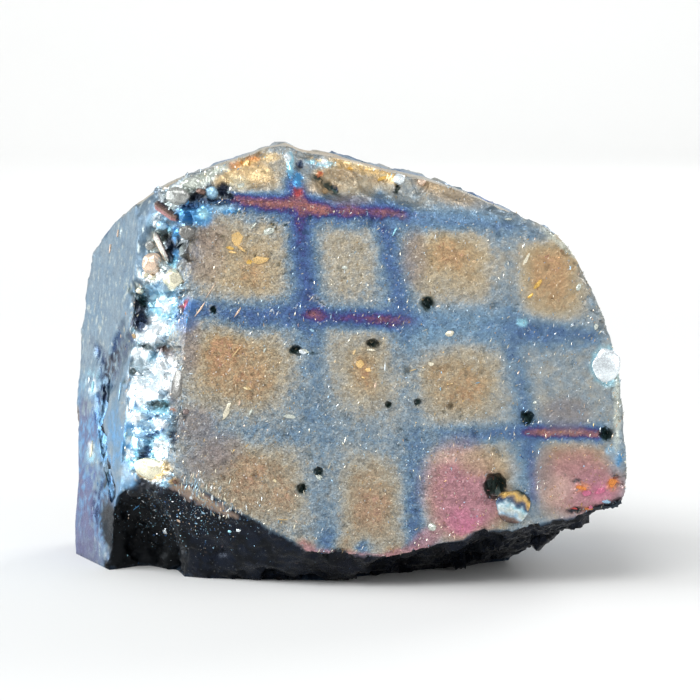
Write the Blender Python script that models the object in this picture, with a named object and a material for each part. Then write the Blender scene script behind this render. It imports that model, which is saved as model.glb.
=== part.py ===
"""Aura quartz cluster: a sawn block of metal-coated quartz, about 52 mm wide and 40 mm high.

The large sawn face is in front and leans back a little. A second sawn face closes the left side, and the
corner between the two is broken into ledges. The underside is broken and undercut, down to the flat that
the stone rests on. The rounded skin is natural, and short quartz points grow over the back.

The unit is the metre, sizes are written in millimetres times MM, +Z is up and the front looks along -Y.
The origin is on the flat base, under the middle of the stone.
"""

import math
import random

import bmesh
import bpy
from mathutils import Euler, Matrix, Vector, noise
from mathutils.bvhtree import BVHTree

MM = 0.001
NODE = "quartz_cluster"

# ---- the block --------------------------------------------------------------------------------------

# The outline as seen from the front, (x, z) in mm, from the right side over the top to the left.
OUTLINE = (
    (24.7, 19.0), (23.4, 24.2), (21.8, 28.2), (19.8, 31.7), (16.3, 33.9), (12.6, 35.3), (6.8, 37.5),
    (2.0, 38.8), (-3.5, 40.0), (-7.4, 40.6), (-11.0, 39.5), (-16.0, 37.8), (-20.6, 35.2), (-24.3, 31.7),
    (-26.5, 27.2), (-27.2, 20.5), (-27.2, 13.0), (-26.9, 6.0), (-26.6, -2.0), (-14.0, -4.0), (0.0, -4.0),
    (16.0, -3.0), (22.5, 2.0), (25.2, 8.5), (25.2, 13.0),
)
AXIS_X, AXIS_Z = -1.0, 18.0  # the line that the outline shrinks towards at the back, mm
RING_POINTS = 46
# Sections of the skin from front to back: (y in mm, scale of the outline)
SECTIONS = (
    (-18.0, 1.0), (-11.0, 1.0), (-4.0, 1.0), (2.5, 1.0), (8.0, 0.98), (11.0, 0.92), (13.0, 0.83),
    (14.4, 0.69), (15.2, 0.46), (15.6, 0.2),
)
SWELLS = ((13.0, 1.7), (6.5, 1.0), (3.4, 0.45))  # (wavelength, height) of the natural skin's lumps, mm
SWELLS_FROM, SWELLS_FULL = 8.0, 14.0  # the lumps grow from a fifth to their full height between these y, mm

# Flat faces: three points of each in mm, and a point on the side that is cut away.
FLATS = {
    "sawn_front": ((-20, -15, 0), (20, -15, 0), (0, -10.8, 40), (0, -30, 20)),
    "sawn_left": ((-17.2, -11.5, 34), (-18.9, -14, 10), (-26.8, 8, 18), (-40, -20, 20)),
    "top_left": ((-14, -11.25, 35.7), (-4.6, -11.3, 35.2), (-7.2, -8.6, 40.2), (-8, -20, 45)),
    "top_right": ((-4.6, -11.3, 35.2), (19.5, -11.7, 32), (2, -8.2, 39.0), (6, -20, 45)),
    "broken_corner": ((-14.2, -11.3, 35), (-16.2, -14, 9), (-21.4, -5.7, 20), (-30, -20, 20)),
    "undercut_left": ((-19.1, -13.5, 9.9), (-27.6, 5, 0), (-20, -11, 0), (-30, -15, 0)),
    "undercut_front": ((-12.3, -14.1, 8.4), (-4.1, -14.6, 3.8), (-9, -10.6, 0), (-8, -20, 0)),
    "undercut_middle": ((-4.6, -14.6, 3.5), (7, -14.7, 2.8), (2, -10.4, 0), (0, -20, 0)),
    "undercut_right": ((2, -14.7, 2.8), (25.6, -14.1, 7.7), (8, -4, 0), (15, -20, 0)),
    "under_right_side": ((25.8, -14, 8), (24, 6, 9), (15, 3, 0), (30, 0, 0)),
    "base": ((0, 0, 0), (10, 0, 0), (0, 10, 0), (0, 0, -10)),
}

# ---- what is broken out of it -----------------------------------------------------------------------

PITS = (  # round holes in the sawn front: (x, z, radius) in mm
    (-12.5, 25.6, 0.42), (7.1, 26.2, 0.72), (2.1, 22.5, 0.6), (-5.2, 21.9, 0.4), (3.5, 17.0, 0.4),
    (6.2, 17.2, 0.36), (-2.9, 10.9, 0.5), (-4.4, 9.3, 0.58), (16.2, 15.8, 0.75), (23.4, 14.3, 0.75),
    (13.3, 9.5, 1.35),
)
NODULE = (14.9, 8.0, 1.15)  # the small crystal lump at the lower right of the largest pit: x, z, radius
SHELLS = (  # shell-shaped chips above the sawn front: (x, z, width, depth) in mm
    (-1.2, 37.0, 4.0, 0.8), (2.4, 37.2, 3.6, 0.6), (5.6, 36.2, 3.4, 0.5), (-9.5, 37.6, 3.4, 0.4),
)
GOUGES = (  # rough holes met from the front: (x, z) and the radii along x, y and z, in mm
    (-12.4, 35.9, 2.2, 1.0, 0.5), (-14.6, 36.0, 0.9, 0.8, 0.6), (-1.5, 37.4, 1.1, 0.8, 0.6),
    (-16.6, 31.6, 0.7, 1.0, 1.0), (-20.0, 25.6, 0.6, 1.1, 1.2), (-16.9, 17.0, 1.0, 0.8, 0.5),
    (-19.6, 12.0, 0.5, 0.8, 1.0), (-17.9, 35.4, 1.0, 0.8, 0.4),
)
SCOOPS = {  # larger broken hollows: middle and radii in mm
    "under_left_corner": ((-20.0, -10.4, 0.4), (6.0, 9.0, 9.2)),
    "under_right_front": ((13.8, -15.4, 3.6), (5.6, 4.6, 2.4)),
    "under_middle": ((-2.6, -14.2, 0.4), (2.8, 3.4, 2.2)),
    "under_right_end": ((22.6, -11.0, 5.0), (3.4, 4.0, 2.2)),
    "right_side": ((27.0, -1.0, 16.0), (3.0, 5.5, 6.5)),
    "upper_right": ((13.5, 2.0, 37.6), (6.5, 5.5, 3.6)),
    "top": ((-8.0, 3.0, 42.6), (6.0, 6.0, 3.0)),
    "upper_left": ((-22.5, 6.0, 36.5), (4.5, 5.0, 3.4)),
}
CORNER_TOP, CORNER_FOOT = (-16.7, -9.0, 34.6), (-18.7, -10.6, 10.4)  # down the middle of the broken corner
CORNER_NORMAL = (-0.76, -0.64, 0.12)
LEDGES = 10
LEDGE_WIDTH = 8.6  # mm
CRACK = ((-23.9, 0.6, 18.0), (-24.3, 0.0, 13.4), (-23.6, -2.0, 11.0), (-22.7, -4.8, 7.0))  # left face
CRACK_WIDTH = 1.2  # mm
RIM_CHIPS = 24
RIM_FROM, RIM_TO = -0.09, 0.49  # the stretch of the outline with chips, lower right to upper left
UNDERSIDE_CHIPS = 24
CHIP_PROUD = 0.6  # how far out of the stone a chip's middle lies, as a share of its radius

# ---- the quartz points on the back --------------------------------------------------------------------

POINT_ROWS = 11
POINT_GAP = 4.1  # mm between neighbours
POINT_RADIUS = (1.0, 2.5)  # mm, small near the rim and large in the middle
POINT_ROOT = 1.6  # how deep a point is rooted in the stone, mm
DRUSE_FRONT = 8.0  # no point grows in front of this y, mm
DRUSE_RIM = 0.9  # nor outside the outline at this scale, and tips lean in at it
DRUSE_FOOT = 4.0  # nor does one grow below this z, mm


def plane(name):
    """A point on the named flat and its normal, which points out of the stone."""
    a, b, c, outside = (Vector(p) * MM for p in FLATS[name])
    normal = (b - a).cross(c - a).normalized()
    return a, normal if normal.dot(outside - a) > 0 else -normal


def outline_point(t):
    """The point (x, z) in mm at t, from 0 to 1, round the smooth curve through OUTLINE."""
    i, f = divmod((t % 1.0) * len(OUTLINE), 1.0)
    p = [Vector(OUTLINE[(int(i) + k) % len(OUTLINE)]) for k in (-1, 0, 1, 2)]
    return 0.5 * (
        2 * p[1]
        + (p[2] - p[0]) * f
        + (2 * p[0] - 5 * p[1] + 4 * p[2] - p[3]) * f**2
        + (3 * p[1] - p[0] - 3 * p[2] + p[3]) * f**3
    )


def outline_scale(point):
    """The scale of the outline that passes through a point: 1 on it, less inside."""
    x, z = point.x / MM - AXIS_X, point.z / MM - AXIS_Z
    angle = math.atan2(z, x)
    rim = [Vector((p.x - AXIS_X, p.y - AXIS_Z)) for p in (outline_point(k / 90) for k in range(90))]
    nearest = min(rim, key=lambda p: abs(math.remainder(math.atan2(p.y, p.x) - angle, math.tau)))
    return math.hypot(x, z) / nearest.length


def swell(point):
    """How far the natural skin swells out at a point."""
    back = min(max((point.y / MM - SWELLS_FROM) / (SWELLS_FULL - SWELLS_FROM), 0), 1)
    height = sum(height * noise.noise(point / (length * MM)) for length, height in SWELLS)
    return height * (0.2 + 0.8 * back) * MM


def add_skin(bm):
    """The closed rounded body before any flat is cut: a loft of the scaled outline."""
    rings = []
    for y, scale in SECTIONS:
        ring = []
        for k in range(RING_POINTS):
            x, z = outline_point(k / RING_POINTS)
            spot = Vector((AXIS_X + (x - AXIS_X) * scale, y, AXIS_Z + (z - AXIS_Z) * scale)) * MM
            away = Vector((x - AXIS_X, 0, z - AXIS_Z)).normalized()
            ring.append(bm.verts.new(spot + away * swell(spot)))
        rings.append(ring)
    for near, far in zip(rings, rings[1:]):
        for k in range(RING_POINTS):
            n = (k + 1) % RING_POINTS
            bm.faces.new((near[k], near[n], far[n], far[k]))
    bm.faces.new(rings[0])
    bm.faces.new(rings[-1])
    bmesh.ops.recalc_face_normals(bm, faces=bm.faces)


def cut_flat(bm, name):
    point, normal = plane(name)
    geometry = bm.verts[:] + bm.edges[:] + bm.faces[:]
    cut = bmesh.ops.bisect_plane(
        bm, geom=geometry, dist=1e-7, plane_co=point, plane_no=normal, clear_outer=True
    )
    rim = [e for e in cut["geom_cut"] if isinstance(e, bmesh.types.BMEdge)]
    bmesh.ops.holes_fill(bm, edges=rim, sides=0)


def block():
    """The stone with its sawn and broken flats, as a bmesh."""
    bm = bmesh.new()
    add_skin(bm)
    for name in FLATS:
        cut_flat(bm, name)
    bmesh.ops.recalc_face_normals(bm, faces=bm.faces)
    return bm


def make_object(name, bm, collection):
    mesh = bpy.data.meshes.new(name)
    bm.to_mesh(mesh)
    bm.free()
    thing = bpy.data.objects.new(name, mesh)
    collection.objects.link(thing)
    return thing


def tool(name, bm, collection):
    """An object that only cuts or adds to the stone."""
    thing = make_object(name, bm, collection)
    thing.hide_render = True
    thing.display_type = "WIRE"
    return thing


def rock(centre, radii, rng, points=14):
    """A convex faceted lump, for a chip, a pit or a nodule, as a bmesh."""
    bm = bmesh.new()
    turn = Euler([rng.uniform(0, math.tau) for _ in range(3)]).to_matrix()
    for k in range(points):
        height = 1 - (2 * k + 1) / points
        angle = k * math.pi * (3 - math.sqrt(5)) + rng.uniform(-0.3, 0.3)
        width = math.sqrt(1 - height**2)
        way = turn @ Vector((width * math.cos(angle), width * math.sin(angle), height))
        reach = rng.uniform(0.82, 1.0)
        bm.verts.new((Vector(centre) + Vector([r * w * reach for r, w in zip(radii, way)])) * MM)
    hull = bmesh.ops.convex_hull(bm, input=bm.verts[:])
    bmesh.ops.delete(bm, geom=list(set(hull["geom_interior"] + hull["geom_unused"])), context="VERTS")
    bmesh.ops.recalc_face_normals(bm, faces=bm.faces)
    return bm


def box(centre, size, turn):
    bm = bmesh.new()
    scale = Matrix.Diagonal([s * MM for s in size]).to_4x4()
    matrix = Matrix.Translation(Vector(centre) * MM) @ turn.to_4x4() @ scale
    bmesh.ops.create_cube(bm, size=1, matrix=matrix)
    return bm


def seen_from_front(tree, x, z):
    """The point and normal of the stone's surface at (x, z) mm, as met from the front."""
    spot, normal, _, _ = tree.ray_cast(Vector((x, -60, z)) * MM, Vector((0, 1, 0)))
    return spot, normal


def add_pits(tree, cutters):
    rng = random.Random(3)
    for k, (x, z, radius) in enumerate(PITS):
        spot, _ = seen_from_front(tree, x, z)
        radii = (radius * rng.uniform(0.9, 1.15), radius * 1.2, radius * rng.uniform(0.9, 1.15))
        tool(f"pit_{k + 1}", rock(spot / MM, radii, rng, 16), cutters)


def add_shells(tree, cutters):
    """Chips as a blow leaves them: shallow caps of large balls."""
    for k, (x, z, width, depth) in enumerate(SHELLS):
        spot, normal = seen_from_front(tree, x, z)
        radius = (width**2 / 4 + depth**2) / (2 * depth)
        place = Matrix.Translation(spot + normal * (radius - depth) * MM)
        bm = bmesh.new()
        bmesh.ops.create_icosphere(bm, subdivisions=3, radius=radius * MM, matrix=place)
        tool(f"shell_chip_{k + 1}", bm, cutters)


def add_gouges(tree, cutters):
    rng = random.Random(7)
    for k, (x, z, *radii) in enumerate(GOUGES):
        spot, _ = seen_from_front(tree, x, z)
        tool(f"gouge_{k + 1}", rock(spot / MM, radii, rng, 14), cutters)


def add_ledges(cutters):
    """Blocks broken out one above the other down the corner between the two sawn faces."""
    rng = random.Random(11)
    top, foot, outward = Vector(CORNER_TOP), Vector(CORNER_FOOT), Vector(CORNER_NORMAL)
    facing = outward.to_track_quat("X", "Z").to_matrix()
    pitch = (top - foot).length / LEDGES
    for k in range(LEDGES):
        middle = foot.lerp(top, (k + 0.5) / LEDGES)
        bite = rng.uniform(0.1, 1.1)
        size = (4.0, LEDGE_WIDTH * rng.uniform(0.8, 1.1), pitch * rng.uniform(0.85, 1.1))
        tilt = Euler((rng.uniform(-0.2, 0.2), rng.uniform(-0.35, 0.35), rng.uniform(-0.3, 0.3)))
        centre = middle + outward * (size[0] / 2 - bite)
        tool(f"ledge_{k + 1}", box(centre, size, facing @ tilt.to_matrix()), cutters)


def add_crack(cutters):
    """The step down the left face, as a run of narrow notches."""
    for k, (above, below) in enumerate(zip(CRACK, CRACK[1:])):
        a, b = Vector(above), Vector(below)
        turn = (b - a).to_track_quat("Z", "X").to_matrix() @ Matrix.Rotation(0.9, 3, "Z")
        size = (CRACK_WIDTH, CRACK_WIDTH, (b - a).length + 0.3)
        tool(f"crack_{k + 1}", box((a + b) / 2, size, turn), cutters)


def add_rim_chips(tree, cutters):
    """Shallow chips along the rim of the front, from the lower right round to the upper left."""
    rng = random.Random(23)
    for k in range(RIM_CHIPS):
        x, z = outline_point(RIM_FROM + (RIM_TO - RIM_FROM) * (k + rng.random()) / RIM_CHIPS)
        away = Vector((x - AXIS_X, -8, z - AXIS_Z)).normalized()
        spot, _ = seen_from_front(tree, x - away.x * 0.5, z - away.z * 0.5)
        radii = [rng.uniform(0.8, 1.9) for _ in range(3)]
        centre = spot / MM + away * min(radii) * CHIP_PROUD
        tool(f"rim_chip_{k + 1}", rock(centre, radii, rng, 12), cutters)


def add_underside_chips(tree, cutters):
    """Chips over the undercut, found from below and kept off the flat that the stone rests on."""
    rng = random.Random(31)
    made = 0
    while made < UNDERSIDE_CHIPS:
        start = Vector((rng.uniform(-13, 24), rng.uniform(-13.6, 8), -5)) * MM
        spot, normal, _, _ = tree.ray_cast(start, Vector((0, 0, 1)))
        if spot is None or not 1.2 * MM < spot.z < 12 * MM:
            continue
        made += 1
        radii = [rng.uniform(1.5, 3.4) for _ in range(3)]
        centre = spot / MM + normal * min(radii) * CHIP_PROUD
        tool(f"underside_chip_{made}", rock(centre, radii, rng, 12), cutters)


def quartz_point(foot, way, radius, length, rng):
    """A six-sided prism with a six-sided tip, rooted at foot and grown along way."""
    bm = bmesh.new()
    root = POINT_ROOT * MM
    shaft = length * rng.uniform(0.45, 0.62)
    turn = way.to_track_quat("Z", "Y").to_matrix().to_4x4() @ Matrix.Rotation(rng.uniform(0, 1), 4, "Z")
    lift = Matrix.Translation((0, 0, (shaft - root) / 2))
    bmesh.ops.create_cone(
        bm, segments=6, radius1=radius, radius2=radius * 0.94, depth=shaft + root, cap_ends=True, matrix=lift
    )
    top = max(bm.faces, key=lambda face: face.calc_center_median().z)
    tip = bmesh.ops.poke(bm, faces=[top])["verts"][0]
    tip.co += Vector((radius * rng.uniform(-0.4, 0.4), radius * rng.uniform(-0.4, 0.4), length - shaft))
    bmesh.ops.triangulate(bm, faces=bm.faces)
    bm.transform(Matrix.Translation(foot) @ turn)
    return bm


def add_points(tree, growths):
    """Quartz points over the back, in staggered rows, leaning out from the middle."""
    rng = random.Random(57)
    made = 0
    for row in range(POINT_ROWS):
        for column in range(-POINT_ROWS, POINT_ROWS + 1):
            x = AXIS_X + (column + 0.5 * (row % 2) + rng.uniform(-0.3, 0.3)) * POINT_GAP
            z = DRUSE_FOOT + (row + rng.uniform(-0.3, 0.3)) * POINT_GAP * 0.87
            spot, normal, _, _ = tree.ray_cast(Vector((x, 60, z)) * MM, Vector((0, -1, 0)))
            if spot is None or spot.y < DRUSE_FRONT * MM:
                continue
            rim = outline_scale(spot)
            if rim > DRUSE_RIM:
                continue
            small, large = POINT_RADIUS
            radius = (small + (large - small) * (1 - rim) ** 0.6 * rng.uniform(0.5, 1.35)) * MM
            length = radius * rng.uniform(1.7, 2.8)
            lean = Vector([rng.uniform(-0.35, 0.35) for _ in range(3)])
            way = (normal + lean + Vector((0, 0.35, 0))).normalized()
            tip = spot + way * length
            if outline_scale(tip) > DRUSE_RIM or tip.z < (DRUSE_FOOT - 1) * MM:
                inward = Vector((AXIS_X * MM - tip.x, 0, AXIS_Z * MM - tip.z)).normalized()
                way = (inward * 0.4 + Vector((0, 1, 0))).normalized()
            made += 1
            tool(f"quartz_point_{made}", quartz_point(spot, way, radius, length, rng), growths)


def coated_quartz():
    """Quartz under a thin metal film: pale grey-blue, smooth and metallic."""
    material = bpy.data.materials.new("coated_quartz")
    material.use_nodes = True
    shader = material.node_tree.nodes["Principled BSDF"]
    shader.inputs["Base Color"].default_value = (0.27, 0.28, 0.32, 1)
    shader.inputs["Metallic"].default_value = 0.6
    shader.inputs["Roughness"].default_value = 0.35
    return material


def combine(stone, operation, collection):
    modifier = stone.modifiers.new(operation.lower(), "BOOLEAN")
    modifier.operation = operation
    modifier.operand_type = "COLLECTION"
    modifier.collection = collection
    modifier.solver = "EXACT"


def island(start):
    """The faces that hang together with one face."""
    found, waiting = {start}, [start]
    while waiting:
        for edge in waiting.pop().edges:
            new = [face for face in edge.link_faces if face not in found]
            found.update(new)
            waiting.extend(new)
    return found


def fill_pockets(stone):
    """Apply the modifiers and close the small pockets sealed between crystals."""
    evaluated = stone.evaluated_get(bpy.context.evaluated_depsgraph_get())
    mesh = bpy.data.meshes.new_from_object(evaluated)
    stone.modifiers.clear()
    stone.data = mesh
    bm = bmesh.new()
    bm.from_mesh(mesh)
    bmesh.ops.triangulate(bm, faces=bm.faces)
    body = island(min(bm.faces, key=lambda face: face.calc_center_median().y))
    bmesh.ops.delete(bm, geom=[face for face in bm.faces if face not in body], context="FACES")
    bm.to_mesh(mesh)
    bm.free()


def main():
    for old in list(bpy.data.objects):
        bpy.data.objects.remove(old)
    collections = [bpy.data.collections.new(name) for name in (NODE, "growths", "cutters")]
    for collection in collections:
        bpy.context.scene.collection.children.link(collection)
    parts, growths, cutters = collections

    bm = block()
    tree = BVHTree.FromBMesh(bm)
    stone = make_object(NODE, bm, parts)
    stone.data.materials.append(coated_quartz())

    add_points(tree, growths)
    x, z, radius = NODULE
    nodule, _ = seen_from_front(tree, x, z)
    tool("nodule", rock(nodule / MM, (radius, radius * 0.7, radius * 0.85), random.Random(5), 18), growths)
    add_pits(tree, cutters)
    add_shells(tree, cutters)
    add_gouges(tree, cutters)
    add_ledges(cutters)
    add_crack(cutters)
    add_rim_chips(tree, cutters)
    add_underside_chips(tree, cutters)
    for name, (centre, radii) in SCOOPS.items():
        tool(f"scoop_{name}", rock(centre, radii, random.Random(9), 26), cutters)

    combine(stone, "UNION", growths)
    combine(stone, "DIFFERENCE", cutters)
    fill_pockets(stone)


main()
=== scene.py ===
import math

import bmesh
import bpy
import numpy as np
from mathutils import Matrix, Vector, noise
from mathutils.bvhtree import BVHTree
from mathutils.kdtree import KDTree


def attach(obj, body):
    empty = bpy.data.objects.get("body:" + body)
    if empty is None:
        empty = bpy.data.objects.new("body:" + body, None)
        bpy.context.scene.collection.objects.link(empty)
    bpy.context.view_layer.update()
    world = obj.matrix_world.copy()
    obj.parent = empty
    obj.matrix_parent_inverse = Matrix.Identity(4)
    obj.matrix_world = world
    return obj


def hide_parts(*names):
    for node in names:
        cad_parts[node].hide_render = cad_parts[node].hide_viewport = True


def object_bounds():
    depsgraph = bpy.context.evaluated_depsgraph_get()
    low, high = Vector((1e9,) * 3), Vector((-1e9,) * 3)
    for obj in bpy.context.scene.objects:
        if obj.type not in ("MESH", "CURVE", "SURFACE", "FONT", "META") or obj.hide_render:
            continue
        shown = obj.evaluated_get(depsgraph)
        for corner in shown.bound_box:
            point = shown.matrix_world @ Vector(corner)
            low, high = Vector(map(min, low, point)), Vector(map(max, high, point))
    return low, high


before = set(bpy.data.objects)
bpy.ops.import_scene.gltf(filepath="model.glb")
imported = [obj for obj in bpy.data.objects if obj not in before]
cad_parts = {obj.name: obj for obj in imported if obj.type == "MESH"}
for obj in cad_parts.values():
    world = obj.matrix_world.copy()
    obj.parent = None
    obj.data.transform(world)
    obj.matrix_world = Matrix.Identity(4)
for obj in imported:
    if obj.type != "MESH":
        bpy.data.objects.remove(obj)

cad_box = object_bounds()
MM = 0.001
BOX_LOW, BOX_HIGH = (np.array(corner) / MM for corner in cad_box)
UP = (0.0, 0.0, 1.0)

# The camera stands this far from a point in the stone, in mm, and looks a little down.
VIEW_DISTANCE = 240.0
VIEW_DOWN = math.radians(6.0)
AIM = np.array((0.0, -12.7, 21.9))
AHEAD = np.array((0.0, math.cos(VIEW_DOWN), -math.sin(VIEW_DOWN)))
EYE = AIM - VIEW_DISTANCE * AHEAD

# The stone's main planes in mm: a point and the normal out of the stone.
FRONT_PLANE = ((0.0, -15.0, 0.0), (0.0, -0.9945, 0.1045))
LEFT_PLANE = ((-17.2, -11.5, 34.0), (-0.923, -0.369, 0.104))
TOP_PLANES = (((-4.6, -11.3, 35.2), (0.021, -0.875, 0.484)), ((-4.6, -11.3, 35.2), (0.061, -0.823, 0.565)))
NAVY_PLANE = ((-12.3, -14.1, 8.4), (-0.3126, -0.8269, -0.4674))
FRONT_OUT, LEFT_OUT = np.array(FRONT_PLANE[1]), np.array(LEFT_PLANE[1])

# The zones of the surface: each has its longest edge of a triangle in mm, its gloss and its grain.
FRONT, CORNER, TOP, LEFT, UNDER, BASE, SKIN, CRYSTAL = range(8)
ZONE_EDGE = (0.345, 0.27, 0.34, 0.55, 0.55, 1.7, 0.8, 2.5)
ZONE_GLOSS = (0.25, 0.85, 0.5, 0.4, 0.75, 0.1, 0.5, 0.95)
ZONE_GRAIN = (1.0, 0.25, 0.7, 0.32, 0.25, 0.32, 0.28, 0.03)

# Large faces are first cut into squares: the side and the place of the grid in mm, and the least area in m2.
SQUARE = 1.9
SQUARE_SHIFT = 0.13
LARGE_FACE = 1.5e-6
# A facet of the stone ends where the surface turns by this much.
FACET_TURN = math.radians(20.0)

# The uneven outline of the top as the camera sees it: x, and how far it lies under the CAD stone, in mm.
TOP_DROP = (
    (-23.8, 0), (-22.4, 0.75), (-21, 0.9), (-18.3, 0.72), (-12.8, 0.62), (-8.7, 0.5), (-6.9, 0.15),
    (-5.9, 0), (-4.4, 0.38), (-1.8, 0.3), (2.3, 0.5), (3.7, 0.6), (6.4, 0.32), (10.5, 0.05), (13.7, 0.42),
    (16.5, 0.62), (18.3, 0.45), (20.6, 0.15), (22.8, 0),
)

# How many small dents the front has, and its pits: x, z and radius in mm.
DENT_COUNT = 190
PITS = (
    (-12.5, 25.6, 0.42), (7.1, 26.2, 0.72), (2.1, 22.5, 0.42), (-5.2, 21.9, 0.4), (3.5, 17, 0.36),
    (6.2, 17.2, 0.36), (-2.9, 10.9, 0.5), (-4.4, 9.3, 0.58), (16.2, 15.8, 0.75), (23.4, 14.3, 0.75),
    (13.3, 9.5, 1.35),
)

# The film value between the lines and the cells.
BARE_FILM = 0.46

# The lines that the wire mesh left on the film. Each point: x, z, film value in the middle, half width.
LINES = (
    ((-12.3, 35.8, 0.62, 0.5), (-10.9, 35.6, 0.93, 0.8), (-8, 35.3, 0.97, 0.9), (-4.6, 35, 1, 0.95),
     (-2.3, 34.7, 1, 0.95), (-1.3, 34.6, 0.83, 0.9), (-0.3, 34.6, 0.95, 0.85), (1.5, 34.5, 0.86, 0.8),
     (3.1, 34.4, 0.95, 0.85), (4.9, 34.2, 0.9, 0.75), (6, 33.9, 0.68, 0.8), (10.1, 33.6, 0.64, 1),
     (14.4, 33.1, 0.6, 0.9), (17.8, 32.3, 0.5, 0.8)),
    ((-9.1, 34.6, 0.54, 0.7), (-4.6, 34.2, 0.6, 1), (-0.5, 34, 0.6, 1), (3.2, 33.6, 0.6, 1.1),
     (5.5, 33.4, 0.56, 1)),
    ((-15.2, 25.9, 0.72, 0.6), (-12.3, 25.4, 0.64, 1.1), (-8.4, 25, 0.68, 1.4), (-4.6, 25.1, 0.72, 1.2),
     (-3.3, 25.1, 0.98, 0.9), (-1.8, 24.9, 0.78, 0.9), (2.6, 24.7, 0.9, 0.85), (5.3, 24.5, 0.88, 0.85),
     (6.8, 24.4, 0.62, 1.3), (11, 24.1, 0.55, 1.8), (14.4, 23.7, 0.66, 1.4), (17.8, 23.5, 0.66, 1.3),
     (22, 23, 0.62, 1)),
    ((-15.2, 14.8, 0.44, 0.7), (-10.5, 14.3, 0.5, 0.9), (-4.6, 14.6, 0.53, 1.3), (-0.5, 14.1, 0.5, 1.3),
     (4.6, 13.6, 0.52, 1.1), (8.2, 14, 0.57, 1), (11, 14.2, 0.62, 0.95), (15.5, 14.4, 0.68, 0.8),
     (16.4, 14.4, 0.92, 0.8), (17.8, 14.4, 1, 0.75), (20.3, 14.4, 0.98, 0.7), (22.6, 14.3, 0.96, 0.7)),
    ((-5.7, 38.1, 0.5, 0.6), (-4.8, 36.3, 0.94, 0.8), (-4.6, 34.6, 0.96, 0.8), (-4.5, 33.2, 0.78, 1.1),
     (-4.2, 29.9, 0.72, 1.35), (-3.9, 26.4, 0.76, 1.3), (-3.7, 24.4, 0.68, 1.1), (-3.4, 21.7, 0.57, 1.1),
     (-3.3, 18.3, 0.53, 1.7), (-2.8, 14.6, 0.54, 2), (-2.4, 11, 0.48, 1.9), (-2.2, 7.2, 0.5, 1.5),
     (-2.1, 4.2, 0.64, 0.9)),
    ((2.7, 35.9, 0.6, 0.7), (3.2, 33.2, 0.7, 1), (3.8, 29.9, 0.65, 1.1), (4.5, 26.4, 0.68, 1.2),
     (4.9, 24.4, 0.72, 0.9), (5.2, 22.4, 0.56, 0.9), (5.3, 20.5, 0.49, 0.9), (5.7, 16.9, 0.47, 1),
     (5.9, 15.1, 0.54, 1.1), (5.9, 12.4, 0.58, 1.1), (5.9, 8.3, 0.63, 1), (5.9, 4.2, 0.64, 0.9)),
    ((12.8, 34.2, 0.5, 0.9), (13.9, 31.9, 0.44, 1.1), (14.2, 27.8, 0.45, 1.2), (14.6, 24.1, 0.64, 1),
     (15.2, 20.8, 0.55, 1), (15.9, 16.6, 0.62, 1), (16.4, 13.7, 0.67, 0.9), (16.5, 11, 0.67, 0.95),
     (16.6, 8.3, 0.62, 0.9)),
)

# The clear cells between the lines: x, z, half width, half height, film value.
CELLS = (
    (-9.8, 29.9, 4.9, 4.2, 0.31), (-0.5, 30.2, 3.8, 4.5, 0.385), (9.4, 29.7, 4.4, 4.3, 0.26),
    (18.5, 28.7, 3.4, 5.2, 0.23), (-10.1, 20.3, 5.3, 4.2, 0.23), (0.9, 19.9, 4, 4.5, 0.35),
    (9.9, 19, 4.8, 4.5, 0.28), (19.9, 18.4, 3.6, 4.4, 0.46), (-8.7, 9.7, 6.4, 4.5, 0.27),
    (1.9, 8.3, 3.6, 4.6, 0.24), (11.2, 9, 4.5, 4.6, 0.09), (20.5, 10.3, 4.2, 3.9, 0.12),
    (-9.1, 37.7, 3.6, 2.6, 0.25), (-0.5, 37.2, 3.9, 1.6, 0.33),
)

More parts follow.
